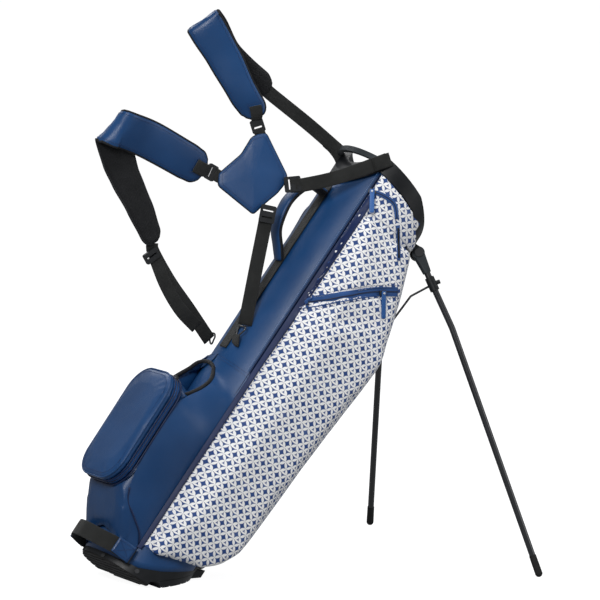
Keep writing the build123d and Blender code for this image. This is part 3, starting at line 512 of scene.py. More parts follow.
def patch(name, outline, origin, x_way, y_way, thickness, materials, crown=0.0, edge=None,
          rounding=0.0, grid=4.0, **rest):
    """A padded plate from a flat outline of (x, y) in the plane, domed by crown on both faces."""
    origin, x_way, y_way = Vector(origin), Vector(x_way).normalized(), Vector(y_way)
    y_way = (y_way - x_way * y_way.dot(x_way)).normalized()
    out = x_way.cross(y_way)
    rim = []
    for i, corner in enumerate(outline):
        before, after = Vector(outline[i - 1]), Vector(outline[(i + 1) % len(outline)])
        corner = Vector(corner)
        cut = min(rounding, (before - corner).length * 0.45, (after - corner).length * 0.45)
        start = corner + (before - corner).normalized() * cut
        stop = corner + (after - corner).normalized() * cut
        for k in range(5):
            t = k / 4
            rim.append((1 - t) ** 2 * start + 2 * t * (1 - t) * corner + t * t * stop)
    dense = []
    for a, b in zip(rim, rim[1:] + rim[:1]):
        pieces = max(1, int((b - a).length / grid))
        dense += [a.lerp(b, k / pieces) for k in range(pieces)]
    centre = sum(dense, Vector((0, 0))) / len(dense)
    levels = (0, 0.12, 0.25, 0.4, 0.55, 0.7, 0.82, 0.91, 0.97, 1)
    verts, uvs, faces, indices = [], [], [], []

    def place(flat, height):
        verts.append(origin + x_way * flat.x + y_way * flat.y + out * height)
        uvs.append((flat.x / 1000, flat.y / 1000))

    n = len(dense)
    for sign in (1, -1):
        face_index = 0 if sign > 0 or len(materials) == 1 else 1
        base = len(verts)
        place(centre, sign * (thickness / 2 + crown))
        for level in levels[1:]:
            for point in dense:
                flat = centre.lerp(point, level)
                edge_drop = (max(0, level - 0.82) / 0.18) ** 2 * 0.45
                dome = crown * (1 - level**2)
                place(flat, sign * (thickness / 2 * (1 - edge_drop) + dome))
        for k in range(n):
            m = (k + 1) % n
            triangle = (base, base + 1 + k, base + 1 + m)
            faces.append(triangle if sign > 0 else triangle[::-1])
            indices.append(face_index)
        for row in range(len(levels) - 2):
            a, b = base + 1 + row * n, base + 1 + (row + 1) * n
            for k in range(n):
                m = (k + 1) % n
                quad = (a + k, b + k, b + m, a + m)
                faces.append(quad if sign > 0 else quad[::-1])
                indices.append(face_index)
    top = 1 + (len(levels) - 2) * n
    low = top + 1 + (len(levels) - 1) * n
    for k in range(n):
        m = (k + 1) % n
        faces.append((top + k, low + k, low + m, top + m))
        indices.append(0)
    piece = build(name, verts, faces, materials, uvs, indices, **rest)
    if edge:
        around = [origin + x_way * p.x + y_way * p.y for p in dense]
        piping(name + "_binding", around, edge, BINDING, closed=True)
    return piece, [origin + x_way * p.x + y_way * p.y + out * thickness / 2 for p in dense]


CLOTH_FRAMES = 14


def cloth_from(name, node, materials, voxel, cap, pressure, smooth, flat=None):
    """A stuffed skin over a CAD node's shape: remeshed, blown up as cloth, then smoothed.

    node may be one name or a tuple of names, which share one skin. cap is the furthest that the
    cloth may move, in millimetres. flat gives each bag-frame point its (u, v) on the cloth.
    """
    nodes = node if isinstance(node, tuple) else (node,)
    joined = bmesh.new()
    for source in nodes:
        joined.from_mesh(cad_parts[source].data)
    mesh = bpy.data.meshes.new(name)
    joined.to_mesh(mesh)
    joined.free()
    piece = bpy.data.objects.new(name, mesh)
    show(piece)
    bpy.context.view_layer.objects.active = piece
    for item in bpy.context.selected_objects:
        item.select_set(False)
    piece.select_set(True)

    def apply(kind, **settings):
        change = piece.modifiers.new(kind, kind)
        for key, value in settings.items():
            setattr(change, key, value)
        bpy.ops.object.modifier_apply(modifier=change.name)

    apply("REMESH", mode="VOXEL", voxel_size=voxel / 1000)
    apply("SMOOTH", factor=0.5, iterations=smooth)
    start = np.empty(len(piece.data.vertices) * 3)
    piece.data.vertices.foreach_get("co", start)
    cloth = piece.modifiers.new("cloth", "CLOTH")
    cloth.settings.use_pressure = True
    cloth.settings.uniform_pressure_force = pressure
    cloth.settings.effector_weights.gravity = 0
    cloth.settings.quality = 5
    cloth.settings.tension_stiffness = 25
    cloth.settings.bending_stiffness = 1.2
    for number in range(1, CLOTH_FRAMES + 1):
        bpy.context.scene.frame_set(number)
    bpy.ops.object.modifier_apply(modifier=cloth.name)
    bpy.context.scene.frame_set(1)
    now = np.empty_like(start)
    piece.data.vertices.foreach_get("co", now)
    move = (now - start).reshape(-1, 3)
    far = np.linalg.norm(move, axis=1, keepdims=True)
    move *= np.minimum(1, cap / 1000 / np.maximum(far, 1e-9))
    piece.data.vertices.foreach_set("co", start + move.ravel())
    apply("SMOOTH", factor=0.5, iterations=3)
    apply("SUBSURF", levels=1, render_levels=1)
    mesh = piece.data
    layer = mesh.uv_layers.new(name="flat")
    flat = flat or (lambda point: (point.x - point.y * 0.3, point.z))
    places = [flat(bag(vertex.co)) for vertex in mesh.vertices]
    for loop in mesh.loops:
        u, v = places[loop.vertex_index]
        layer.data[loop.index].uv = (u / 1000, v / 1000)
    for material in materials:
        mesh.materials.append(material)
    mesh.shade_smooth()
    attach(piece, "root")
    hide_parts(*nodes)
    return piece


def surface_of(*pieces):
    points, faces = [], []
    for piece in pieces:
        base = len(points)
        points += [vertex.co.copy() for vertex in piece.data.vertices]
        faces += [tuple(base + number for number in face.vertices) for face in piece.data.polygons]
    return BVHTree.FromPolygons(points, faces)


def laid(surface, points, toward, lift):
    """Points dropped along toward (bag frame) on to a surface, then lifted off it again."""
    result = []
    heading = (spot(toward) - spot((0, 0, 0))).normalized()
    for point in points:
        start = spot(point) - heading * 0.15
        hit = surface.ray_cast(start, heading)
        found = bag(hit[0]) if hit[0] is not None else Vector(point)
        result.append(found - Vector(toward).normalized() * lift)
    return result


TUBE_LENGTH, NEAR_MOUTH = 870, 800


def tube_centre(z):
    return -16 + 17 * z / TUBE_LENGTH


def tube_radius(z):
    return 95 + 3 * z / TUBE_LENGTH


def on_tube(angle, z, lift=0.0):
    """A point on the club tube at an angle in degrees, 180 at the spine and -90 on the left."""
    radius = tube_radius(z) + lift
    return Vector((tube_centre(z) + radius * cos(radians(angle)),
                   radius * sin(radians(angle)), z))


def edge_height(x, outline):
    for (x0, z0), (x1, z1) in zip(outline, outline[1:]):
        if x0 <= x <= x1:
            return z0 + (z1 - z0) * (x - x0) / (x1 - x0)
    return outline[-1][1]


TOP_EDGE = [(-140, 742), (-68, 862), (18, 838), (69, 807), (130, 760)]
CUP_RIM = [(-140, -19), (-58, -9), (-18, 9.5), (110, 84.5)]
COLLAR, WALL, JOIN = 30, 3.0, 0.3


# ---- rigid CAD nodes keep their shape and get their finish --------------------------------
def paint(material, *nodes):
    for node in nodes:
        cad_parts[node].data.materials.clear()
        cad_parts[node].data.materials.append(material)


paint(PLASTIC, "base_cup", "base_flap", "cuff_collar", "leg_bracket_left", "leg_bracket_right",
      "rod_guides", "collar_left", "collar_right", "strap_buckles", "strap_adjusters")
paint(PLASTIC_GREY, "crossbar_handle", "knuckle_left", "knuckle_right", "stay_rods")
paint(RUBBER, "base_tread", "foot_left", "foot_right")
paint(LEG_PAINT, "leg_tube_left", "leg_tube_right", "actuator_rods")
paint(DARK_STEEL, "leg_pivot_pins", "flap_hinge_pin", "base_rivets", "wire_link_left",
      "wire_link_right", "strap_rings", "apparel_slider_left", "apparel_slider_right",
      "valuables_slider", "ball_slider_near", "ball_slider_far")


# ---- club tube ----------------------------------------------------------------------------
def shell(name, start, end, material, node, slot, puff=0.0):
    """A wall panel of the club tube between two angles, with a little fullness in its cloth."""
    columns, rows = max(8, int((end - start) / 3.5)), 70
    verts, uvs = [], []
    for lift in (0.0, -WALL):
        for row in range(rows + 1):
            for column in range(columns + 1):
                angle = start + (end - start) * column / columns
                x_low = on_tube(angle, 0).x
                x_high = on_tube(angle, NEAR_MOUTH).x
                low = edge_height(x_low, CUP_RIM) + JOIN
                high = edge_height(x_high, TOP_EDGE) - COLLAR - JOIN
                z = low + (high - low) * row / rows
                spread = sin(pi * column / columns) ** 0.5
                rise = sin(pi * row / rows) ** 0.3
                full = puff * spread * rise if lift == 0 else 0
                ripple = noise.noise(Vector((angle / 26, z / 150, 3))) + 0.5
                verts.append(on_tube(angle, z, lift + ripple * full))
                uvs.append((radians(angle) * 0.096, z / 1000))
    wide = columns + 1
    layer = wide * (rows + 1)
    faces = grid(rows, columns) + [(a, d, c, b) for a, b, c, d in grid(rows, columns, layer)]
    for column in range(columns):
        a, b = column, rows * wide + column
        faces.append((a, a + layer, a + layer + 1, a + 1))
        faces.append((b, b + 1, b + layer + 1, b + layer))
    for row in range(rows):
        a, b = row * wide, row * wide + columns
        faces.append((a, a + wide, a + wide + layer, a + layer))
        faces.append((b, b + layer, b + layer + wide, b + wide))
    return build(name, verts, faces, [material], uvs, slot=slot, stands_for=[node])


shell("spine_leather", 130.1, 229.9, LEATHER, "spine_panel", "leather_blue", 1.4)
shell("left_side_leather", 230.1, 311.9, LEATHER, "left_side_panel", "leather_blue")
shell("right_side_leather", 48.1, 129.9, LEATHER, "right_side_panel", "leather_blue")
shell("belly_cloth", -47.9, 47.9, BLACK_CLOTH, "belly_panel", "fabric_black", 0.8)


CLOTH_SPAN = (86, 745)                           # the divider cloths' low and high edge


def spoke(name, x_way, y_way, node=None):
    """One of the two crossing cloths that part the clubs."""
    rows, columns, low, high = 60, 24, *CLOTH_SPAN
    verts, uvs = [], []
    for row in range(rows + 1):
        z = low + (high - low) * row / rows
        reach = tube_radius(z) - WALL - 1
        middle = tube_centre(z) if x_way else 0
        if not x_way:
            reach = sqrt(reach**2 - tube_centre(z) ** 2)
        for column in range(columns + 1):
            along = (2 * column / columns - 1) * reach + middle
            drift = 0.5 * sin(z / 47 + along / 30) * sin(pi * row / rows)
            verts.append((along if x_way else drift, along if y_way else drift, z))
            uvs.append((along / 1000, z / 1000))
    piece = build(name, verts, grid(rows, columns), [BLACK_CLOTH], uvs, slot="fabric_black",
                  stands_for=[node] if node else ())


spoke("divider_cloth_along", 1, 0, "divider_sheets")
spoke("divider_cloth_across", 0, 1)
cloth_from("divider_pad", "divider_cross", [BLACK_CLOTH], voxel=3.2, cap=1.2, pressure=2,
           smooth=3)


# ---- side pockets -------------------------------------------------------------------------
def print_flat(point):
    """Unrolls the side pocket: along its face, then round its belly and spine corners."""
    depth = abs(point.y) - 148
    turn = ease(clamp((point.x - 60) / 50))
    return point.x + depth * (0.42 * (1 - turn) - 0.9 * turn), point.z


ZIP_LINE = [(-66, -100, 548), (-44, -100, 577), (-16, -100, 606), (24, -100, 640),
            (64, -100, 666)]
for side, hand in SIDES:
    pocket = cloth_from("pocket_print_" + side, "apparel_pocket_" + side, [PRINT],
                        voxel=6, cap=4, pressure=2.2, smooth=5,
                        flat=print_flat)
    pull_cloud = [bag(v.co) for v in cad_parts["apparel_pull_" + side].data.vertices]
    limit = min(abs(point.y) for point in pull_cloud) - 0.6
    for vertex in pocket.data.vertices:           # kept flat where the zip pull travels
        place = bag(vertex.co)
        above = place.z - edge_height(max(-66, min(64, place.x)),
                                      [(x, z) for x, _, z in ZIP_LINE])
        outside = max(0, above - 12, -58 - above, abs(place.x) - 78)
        hold = clamp(1 - outside / 26)
        if place.y * hand > 0 and abs(place.y) > limit:
            place.y = hand * (limit + (abs(place.y) - limit) * (1 - hold))
            vertex.co = spot(place)
    skin = surface_of(pocket)

    def run(shift_x, shift_z, lift):
        moved = [(x + shift_x, -y * hand, z + shift_z) for x, y, z in ZIP_LINE]
        return laid(skin, bow(moved, step=5), (0, -hand, 0), lift)

    zip_stations = [(tuple(point), (-0.6, 0, 0.8), 15) for point in run(0, 0, 1.4)]
    strap(f"zip_band_{side}", zip_stations, 1.6, [ZIP_TAPE], slot="zip_black",
          stands_for=["apparel_zips"] if side == "left" else ())
    piping(f"zip_teeth_{side}", run(0, 0, 2.6), 1.3, TEETH, slot="zip_black")
    for number, (dx, dz) in enumerate(((-4.6, 6.1), (4.6, -6.1))):
        piping(f"zip_welt_{side}_{number}", run(dx, dz, 1.8), 0.9, ZIP_TAPE)
        stitches(f"zip_stitches_{side}_{number}", run(dx * 1.5, dz * 1.5, 0.3), (0, hand, 0),
                 DARK_THREAD)


def print_strip(name, start, end, low, high, lift):
    """A strip of the printed cloth lying a little above the tube."""
    columns, rows = 24, 90
    verts = []
    for row in range(rows + 1):
        for column in range(columns + 1):
            angle = start + (end - start) * column / columns
            z = low + (high - low) * row / rows
            verts.append(on_tube(angle, z, lift))
    uvs = [tuple(value / 1000 for value in print_flat(point)) for point in verts]
    return build(name, verts, grid(rows, columns), [PRINT], uvs)


print_strip("print_edge_left", -128.4, -104, 30, 760, 2.0)
print_strip("print_edge_right", 128.4, 104, 30, 760, 2.0)
print_strip("print_join_left", -128.5, -60, 690, 800, 6.0)
valuables = cloth_from("valuables_print", "valuables_pocket", [PRINT], voxel=3.6, cap=1.4,
                       pressure=2, smooth=3, flat=print_flat)


def drape(points, hand, surface, lift):
    """Points dropped sideways on to the side pocket, as seen from its spine corner."""
    return laid(surface, points, (0.486, -hand * 0.874, 0), lift)


for side, hand in SIDES:
    under = [bpy.data.objects["pocket_print_" + side], bpy.data.objects["print_edge_" + side]]
    if side == "left":
        under += [valuables, bpy.data.objects["print_join_left"]]
    under = surface_of(*under)
    across_way = Vector((0.874, hand * 0.486, 0))
    verts, uvs, columns = [], [], 8
    heights = [22 + 8.5 * number for number in range(91)]
    for z in heights:
        start = on_tube(hand * 128.8, z, 2)
        wide = 8 + 4.5 * clamp((z - 420) / 160)
        line = [start + across_way * (wide * column / columns) for column in range(columns + 1)]
        verts += drape(line, hand, under, 2.0)
        uvs += [(column * 0.0015, z / 1000) for column in range(columns + 1)]
    # the seam band's dark navy is partly the strip's own colour and partly painted shade
    build(f"seam_band_{side}", verts, grid(len(heights) - 1, columns), [SEAM_BAND], uvs)
    rim_line = verts[columns::columns + 1]
    piping(f"seam_band_piping_{side}", bow(rim_line[::4], step=6), 0.9, LEATHER_NAVY)
    if side == "left":
        facing = (0.476, 0.857, 0.196)
        welt = laid(under, bow([(-70, -101, 788), (-62, -101, 792),
                                (-40, -101, 796), (-20, -101, 794), (-1, -101, 777)], step=5),
                    facing, 1.3)
        strap("valuables_zip_band", [(point, (-0.3, 0.1, 0.95), 9) for point in welt], 1.6,
              [ZIP_TAPE])
        piping("valuables_zip_teeth", [point + Vector((-0.5, -0.9, 0)) for point in welt], 1.0,
               TEETH)
        tail = laid(under, bow([(8, -101, 769), (30, -101, 742), (48, -101, 719)], step=5),
                    facing, 1.5)
        strap("belly_zip_band", [(point, (0.75, 0.2, 0.6), 8) for point in tail], 1.6,
              [ZIP_TAPE])
        strap("belly_zip_slot", [(point + Vector((-0.4, -0.7, -0.1)), (0.75, 0.2, 0.6), 4.4)
                                 for point in tail[1:-1]], 2.0, [BINDING])


def pull_tab(name, node, outward, body):
    """A leather zip pull: the CAD node's strip with rounded, stitched edges and a rivet."""
    cloud = [bag(vertex.co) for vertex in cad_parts[node].data.vertices]
    outward = Vector(outward).normalized()
    hang = Vector((SIN, 0, -COS))
    hang = (hang - outward * hang.dot(outward)).normalized()
    side = outward.cross(hang)
    middle = sum(cloud, Vector()) / len(cloud)
    drops = [point.dot(hang) for point in cloud]
    length = max(drops) - min(drops)
    start = middle + hang * (min(drops) - middle.dot(hang))
    half = 4.4
    outline = [(length, -half), (length, half), (0, half), (0, -half)]
    patch(name, outline, start, hang, side, 2.0, [LEATHER_BRIGHT], crown=0.35, rounding=3,
          grid=2, body=body, slot="leather_blue", stands_for=[node])
    for shift in (-3.1, 3.1):
        stitches(f"{name}_stitches{'_a' if shift < 0 else '_b'}",
                 [start + side * shift + hang * 4 + outward * 1.2,
                  start + side * shift + hang * (length - 3) + outward * 1.2], outward,
                 pitch=3, length=2, radius=0.35, body=body)
    knob = start + hang * 4 + outward * 1.0
    piping(name + "_rivet", [knob, knob + outward * 1.1], 2.0, PALE_STEEL, sides=14, body=body)


pull_tab("apparel_tab_left", "apparel_pull_left", (0, -1, 0), "pull_left")
pull_tab("apparel_tab_right", "apparel_pull_right", (0, 1, 0), "pull_right")
VALUABLES = radians(-127)
pull_tab("valuables_tab", "valuables_pull", (cos(VALUABLES), sin(VALUABLES), 0),
         "pull_valuables")


# ---- seams of the spine panel -------------------------------------------------------------
def seam_height(angle):
    return edge_height(on_tube(angle, NEAR_MOUTH).x, TOP_EDGE) - COLLAR - 3


for side, hand in SIDES:
    for number, (angle, lift) in enumerate(((128.6, 2.2), (131.0, 1.4))):
        line = bow([on_tube(hand * angle, z, lift) for z in
                    (2, 120, 260, 400, 540, 680, seam_height(hand * angle))], step=7)
        piping(f"spine_piping_{side}_{number}", line, 1.5, LEATHER_NAVY, slot="leather_blue")
    line = [on_tube(hand * 134, z, 1.6) for z in (8, 200, 400, 600, seam_height(hand * 134))]
    stitches(f"spine_stitches_{side}", line, lambda point: Vector((point.x, point.y, 0)))

# ---- ball pocket --------------------------------------------------------------------------
skin = cloth_from("ball_and_bottle_leather", ("ball_pocket_body", "bottle_pocket"), [LEATHER],
                  voxel=3.6, cap=3, pressure=2, smooth=9)
MOUTH = Vector((52, 0, 110)).normalized()
mouth_origin = Vector((-122, 0, 392 - 22 * 110 / 52))
mouth_up = Vector((-MOUTH.z, 0, MOUTH.x))
for vertex in skin.data.vertices:                 # the left wall sags a little below the elastic
    place = bag(vertex.co)
    level = clamp((mouth_up.dot(place - mouth_origin) + 60) / 60)
    side = clamp((-place.y - 24) / 20)
    if place.z > 205 and abs(place.y) > 50:
        place.y *= 1 - 0.11 * min(1.0, (place.z - 205) / 50)
    sag = 17 * ease(level) * ease(side)
    vertex.co = spot(place - mouth_up * sag)
cloth_from("ball_zip_leather", "ball_pocket_zip", [LEATHER_BRIGHT], voxel=3.2, cap=1.0,
           pressure=1, smooth=2)
lid = cloth_from("ball_lid_leather", "ball_pocket_lid", [LEATHER], voxel=3.2, cap=4,
                 pressure=3, smooth=5)


def lid_line(x, shrink):
    """The lid's rounded outline, drawn at one distance behind the tube."""
    half, low, high, corner = 71 - shrink, 88 + shrink, 313 - shrink, 48 - shrink
    points = []
    for cy, cz, start in ((half - corner, high - corner, 0), (-half + corner, high - corner, 90),
                          (-half + corner, low + corner, 180), (half - corner, low + corner, 270)):
        for k in range(13):
            angle = radians(start + 90 * k / 12)
            points.append(Vector((x, cy + corner * cos(angle),
                                  cz + corner * sin(angle))))
    return points


piping("lid_piping", lid_line(-188.2, 1.4), 1.5, LEATHER, closed=True)
piping("lid_back_piping", lid_line(-177.0, 0.4), 1.3, LEATHER_NAVY, closed=True)
piping("lid_zip_teeth", lid_line(-170.5, 1.4), 1.1, TEETH, closed=True)
for number, place in enumerate((-174.2, -166.6)):
    stitches(f"ball_zip_stitches_{number}", bow(lid_line(place, 1.6), step=8),
             lambda point: Vector((0, point.y, point.z - 200)), DARK_THREAD)
piping("body_piping", lid_line(-162.8, 0.6), 1.6, LEATHER_NAVY, closed=True)
lid_edge = lid_line(-215, 9)
stitches("lid_stitches", laid(surface_of(lid), lid_edge + lid_edge[:1], (1, 0, 0), 0.3),
         (-1, 0, 0), DARK_THREAD)

# ---- leather that runs from the ball and bottle pockets back to the main seam --------------
GUSSET_SEAM = [(21, 1.0), (17, 0.95), (14, 0.7), (11, 0.28), (8, 0.0)]
GUSSET = [((129.2, -14), (-89, -68, -8)), ((129.2, 20), (-101, -67, 12)),
          ((129.2, 60), (-127, -67, 56)), ((129.2, 100), (-147, -67.5, 92)),
          ((129.2, 160), (-160.5, -69, 150)), ((129.2, 220), (-162, -70, 215)),
          ((129.2, 270), (-159, -66, 268)), ((129.2, 305), (-143, -54.5, 294)),
          ((129.2, 330), (-127, -56.5, 319)), ((129.2, 350), (-116, -52.5, 341)),
          ((129.2, 370), (-107, -32, 362)), ((129.4, 384), (-107.5, -6, 384)),
          ((130, 392), (-107, -1, 402))]
GUSSET_ROWS = 80
seam_side = bow([Vector((angle, z, 0)) for (angle, z), _ in GUSSET], count=GUSSET_ROWS)
pocket_side = bow([place for _, place in GUSSET], count=GUSSET_ROWS)


def gusset_point(hand, row, share):
    """A point of the leather: share 0 at the main seam, 1 at the pockets."""
    angle, z = seam_side[row].x, seam_side[row].y
    far = pocket_side[row]
    reach = Vector((far.x - tube_centre(far.z), far.y))
    away = degrees(atan2(-reach.y, reach.x))
    turn = radians(angle + (away - angle) * share)
    radius = (tube_radius(z) + 2.6) * (1 - share) + reach.length * share
    height = z * (1 - share) + far.z * share
    wave = noise.noise(Vector((share * 2.2, height / 60, hand)))
    radius += 0.9 * wave * sin(pi * share)
    return Vector((tube_centre(height) + radius * cos(turn),
                   hand * radius * sin(turn), height))


for side, hand in SIDES:
    verts, uvs, columns = [], [], 22
    for row in range(GUSSET_ROWS):
        for column in range(columns + 1):
            verts.append(gusset_point(hand, row, column / columns))
            uvs.append((column * 0.003, verts[-1].z / 1000))
    build(f"gusset_leather_{side}", verts, grid(GUSSET_ROWS - 1, columns), [LEATHER], uvs)
    seam = [gusset_point(hand, row, share) + Vector((0, hand * 0.7, 0))
            for row, share in GUSSET_SEAM]
    piping(f"gusset_seam_{side}", bow(seam, step=4), 1.5, LEATHER_NAVY)
    beside = [point + Vector((3.6, hand * 0.8, 0.4)) for point in seam]
    stitches(f"gusset_stitches_{side}", beside, (-0.4, hand, 0), DARK_THREAD)
    for number, drop in enumerate((3, 8)):
        line = [gusset_point(hand, GUSSET_ROWS - 1, share) + Vector((-0.4, hand * 0.5, -drop))
                for share in (0, 0.25, 0.5, 0.75, 1)]
        stitches(f"pocket_top_stitches_{side}_{number}", line,
                 lambda point: Vector((point.x, point.y, 0)), DARK_THREAD)

# ---- bottle pocket ------------------------------------------------------------------------
rim = []
for a, b, rise in ((10, 37, 2.3), (28, 38, 2.3), (37, 26, 2), (38, 8, 1.5), (31, -14, -1),
                   (22, -25, -4), (3, -44, -6), (-16, -51, -6), (-33, -50, -5), (-50, -42, -4),
                   (-58, -20, -2), (-58, 20, 0), (-44, 38, 2), (-20, 42, 2.3)):
    rim.append(mouth_origin + MOUTH * a + mouth_up * rise + Vector((0, b, 0)))
piping("bottle_elastic", bow(rim + rim[:1], step=4)[:-1], 3.6, BINDING, closed=True, sides=12,
       slot="rubber_black", stands_for=["bottle_rim"])

# ---- webbing, lift loop and grab handle ---------------------------------------------------
def spine_x(z):
    return tube_centre(z) - tube_radius(z)


WEB, LOOP = 25, 30


def webbing(name, across, points, thickness=2.8, widths=None, **rest):
    """Black webbing through points, its width lying along across."""
    widths = widths or [WEB] * len(points)
    strap(name, [(point, across, width) for point, width in zip(points, widths)], thickness,
          [WEBBING], slot="webbing_black", **rest)


webbing("spine_web", (0, 1, 0), [(spine_x(z) - 2.4, 0, z) for z in (416, 500, 600, 700, 771)],
        1.8, stands_for=["spine_webbing"])
half_loop = [((-78, 83.5, 2), 0), ((-112, 74.5, 2), 0), ((-136, 43, 1), 0.05),
             ((-152.5, 14, 1), 0)]
loop_stations = [((x, -y, z), (tilt, 0, 1), LOOP) for (x, y, z), tilt in half_loop]
loop_stations.append(((-154, 0, 1), (0, 0, 1), LOOP))
loop_stations += [(place, (tilt, 0, 1), LOOP) for place, tilt in half_loop[::-1]]
strap("lift_web", loop_stations, 2.6, [WEBBING], slot="webbing_black", stands_for=["lift_loop"])

handle_stations = [((spine_x(752) - 4, 0, 754), (0, 1, 0), 30), ((-124, 0, 752), (0, 1, 0), 32),
                   ((-144, 0, 738), (0, 1, 0), 32), ((-155, 0, 704), (0, 1, 0), 31),
                   ((-152, 0, 672), (0, 1, 0), 30), ((-142, 0, 645), (0, 1, 0), 28),
                   ((-122, 0, 624), (0, 1, 0), 26), ((spine_x(610) - 4, 0, 606), (0, 1, 0), 22)]
handle = strap("grab_leather", handle_stations, 11, [LEATHER, BINDING], crown=1.5, edge=2.0,
               flip=True, slot="leather_blue", stands_for=["grab_handle"])

# ---- strap system -------------------------------------------------------------------------
hub_origin, hub_x, hub_y = Vector((-205, -10, 705)), Vector((0.893, -0.45, 0)), Vector((0, 0, 1))
hub_out = Vector((-0.45, -0.893, 0))
hub_corners = [(-286, 31, 666), (-283, 30, 676), (-272, 24, 719), (-273, 24, 755), (-267, 21, 767),
               (-257, 16, 776), (-192, -17, 731), (-189, -18, 715), (-191, -17, 695),
               (-199, -13, 666), (-205, -10, 639), (-276, 26, 648)]
hub_flat = [((Vector(c) - hub_origin).dot(hub_x), c[2] - hub_origin.z)
            for c in hub_corners][::-1]
hub, hub_rim = patch("hub_leather", hub_flat, hub_origin, hub_x, hub_y, 9, [LEATHER, BLACK_CLOTH],
                     crown=3.0, edge=1.6, rounding=5, slot="leather_blue",
                     stands_for=["strap_hub"])
hub_middle = sum(hub_rim, Vector()) / len(hub_rim)
inset = [hub_middle.lerp(point, 0.9) + hub_out * 0.3 for point in hub_rim[::3]]
stitches("hub_border", inset + inset[:1], hub_out, DARK_THREAD)

NEAR_LEFT, NEAR_RIGHT = (0.13, 0.15, -0.98), (0.35, -0.39, 0.85)
left_pad = [((-312, 37, 656), NEAR_LEFT, 52), ((-330, 35, 652), NEAR_LEFT, 60),
            ((-357, 33, 648), NEAR_LEFT, 64), ((-441, 25, 634), (0.11, 0.16, -0.98), 66),
            ((-498, 8, 617), (0.08, 0.22, -0.97), 66), ((-510, 10, 612), (0.08, 0.16, -0.98), 66),
            ((-516, 18, 610), (0.04, 0.05, -1), 66), ((-515, 28, 608), (-0.14, -0.03, -0.99), 66),
            ((-507, 36, 604), (-0.35, 0, -0.94), 66), ((-466, 38, 575), (-0.52, -0.12, -0.84), 66),
            ((-437, 31, 554), (-0.6, -0.22, -0.77), 64),
            ((-391, 15, 525), (-0.61, -0.27, -0.74), 58),
            ((-349, 6, 498), (-0.61, -0.3, -0.73), 48), ((-334, 5, 489), (-0.61, -0.27, -0.74), 40)]
right_pad = [((-288, 25, 789), NEAR_RIGHT, 42), ((-302, 26, 799), NEAR_RIGHT, 47),
             ((-333, 29, 810), NEAR_RIGHT, 51), ((-397, 46, 844), NEAR_RIGHT, 59),
             ((-448, 58, 867), (0.27, -0.35, 0.9), 64), ((-458, 65, 875), (0.24, -0.34, 0.91), 65),
             ((-440, 71, 875), (0.2, -0.21, 0.96), 64), ((-366, 81, 859), (0.13, -0.07, 0.99), 52),
             ((-290, 82, 858), (0.04, -0.02, 1), 46), ((-267, 81, 857), (0.04, -0.02, 1), 38)]
for side, stations, flip in (("left", left_pad, False), ("right", right_pad, True)):
    pad = strap(f"pad_{side}", stations, 8, [LEATHER, MESH_CLOTH], crown=2.2, edge=2.2,
                flip=flip, ends=22, step=4, border=5.5, slot="leather_blue",
                stands_for=["shoulder_pad_" + side])

LEANING = (-0.56, -0.02, -0.83)
webbing("lower_web_left", LEANING, [(-335, 6, 486), (-323, 7, 475), (-261, 6, 450),
                                    (-188, 20, 434), (-121, 30, 417)],
        stands_for=["lower_webbing_left"])
webbing("lower_web_tail", LEANING, [(-318, 2, 468), (-270, 2, 441), (-215, 10, 424),
                                    (-160, 24, 420)], 2)
webbing("upper_web_right", (0.04, -0.14, 0.99), [(-272, 81, 857), (-261, 80, 855),
                                                 (-161, 76, 855), (-80, 72, 852)],
        stands_for=["upper_webbing_right"])
strap("upper_web_wrap", [((-112, 75.5, 853.5), (0.04, -0.14, 0.99), 26),
                         ((-92, 72, 850), (0.35, -0.35, 0.87), 24),
                         ((-76, 65, 840), (0.6, -0.5, 0.6), 20),
                         ((-62, 58, 826), (0.687, -0.5, 0.526), 16)], 4, [WEBBING],
      slot="webbing_black")
PEAK = (-0.55, 0.12, 0.83)
webbing("hub_web_peak", PEAK, [(-184, -32, 717), (-166, -42, 733), (-124, -62, 782),
                               (-72, -80, 856)], stands_for=["hub_webbings"])
webbing("hub_web_peak_end", PEAK, [(-88, -77.5, 834), (-69, -84, 860)], 2.4)
webbing("hub_web_ring", (-0.6, 0.4, -0.35), [(-190, -26, 650), (-182, -27, 632),
                                             (-148, -28, 555), (-108, -29, 466)])
webbing("ring_anchor", (0, 1, 0), [(-112, -28, 444), (-101, -27, 425)], 2)
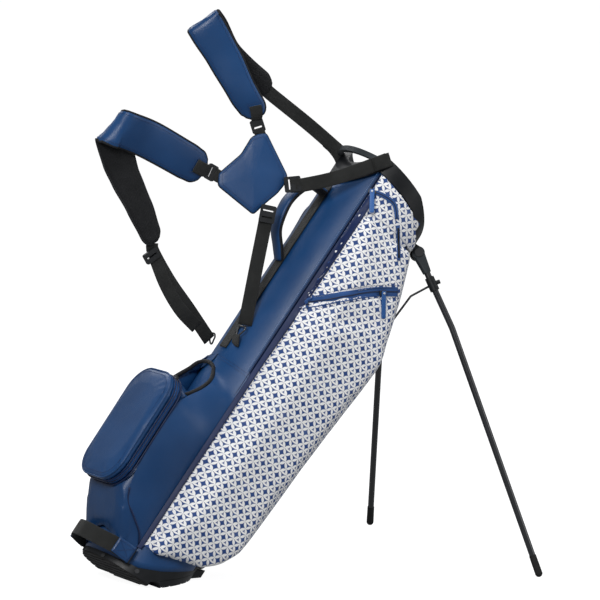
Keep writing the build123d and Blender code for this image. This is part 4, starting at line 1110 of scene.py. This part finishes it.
# tabs that hold the buckles to the pads and the hub
for side, across, pad_points, hub_points, wide, narrow in (
        ("left", NEAR_LEFT, [(-336, 26.5, 651), (-316, 28.5, 654.5), (-304, 32.5, 660)],
         [(-292, 34, 662), (-276, 26.5, 663.5)], 25, 23),
        ("right", (0.5, -0.4, 0.72), [(-305, 17, 803), (-292, 19, 793), (-283, 25.5, 786.5)],
         [(-270, 23, 774), (-259, 17.5, 765)], 22, 20)):
    webbing(f"{side}_tab", across, pad_points, 2.6, [wide, wide, narrow])
    webbing(f"{side}_tab_hub", across, hub_points, 2.6, [narrow, narrow])
for name, *corners in (("left", (-340, 26, 650.5), (-317, 28, 654), (1.9, 2.1, -14.2)),
                       ("right", (-309, 16.5, 806.5), (-294, 18, 795), (7.2, -5.4, 9.8))):
    start, stop, across = map(Vector, corners)
    for ending, row in (("0", (start + across, stop + across)),
                        ("1", (start - across, stop - across)),
                        ("end", (start + across, start - across))):
        stitches(f"{name}_window_stitches_{ending}", row, (0.14, -0.98, -0.1), DARK_THREAD)

# ---- sewn patches over the ends of the lift loop -------------------------------------------
for side, hand in SIDES:
    strap(f"lift_patch_{side}", [((-118, hand * 78, 3), (0, 0, 1), 29),
                                 ((-98, hand * 83.5, 2.5), (0, 0, 1), 31),
                                 ((-82, hand * 87, 2), (0, 0, 1), 31)], 2.4,
          [LEATHER], crown=0.4)
    low, high = Vector((-115, hand * 80.6, -9)), Vector((-84, hand * 88.3, 14))
    corners = [low, Vector((low.x, low.y, high.z)), high, Vector((high.x, high.y, low.z))]
    for number, (a, b) in enumerate(((0, 1), (1, 2), (2, 3), (3, 0), (0, 2), (1, 3))):
        stitches(f"lift_patch_stitches_{side}_{number}",
                 [corners[a], corners[a].lerp(corners[b], 0.5) + Vector((0, hand * 0.9, 0)),
                  corners[b]], (0, hand, 0), DARK_THREAD)

# ---- floor and end ------------------------------------------------------------------------
floor_mesh = bpy.data.meshes.new("floor")
floor_mesh.from_pydata([(-60, -60, 0), (60, -60, 0), (60, 60, 0), (-60, 60, 0)], [],
                       [(0, 1, 2, 3)])
floor = bpy.data.objects.new("floor", floor_mesh)
show(floor)
ground_look = Shader("pale floor", rough=0.9, specular=0.1)
ground_look.colour(ground_look.mix(ground_look.ramp(ground_look.noise(0.7, 2), 0.3, 0.7),
                                   (0.30, 0.302, 0.304, 1), (0.32, 0.322, 0.324, 1)))
ground_look.surface.inputs["Emission Color"].default_value = (1, 1, 1, 1)
ground_look.surface.inputs["Emission Strength"].default_value = 0.93
floor_mesh.materials.append(ground_look.material)
floor.visible_diffuse = floor.visible_glossy = False
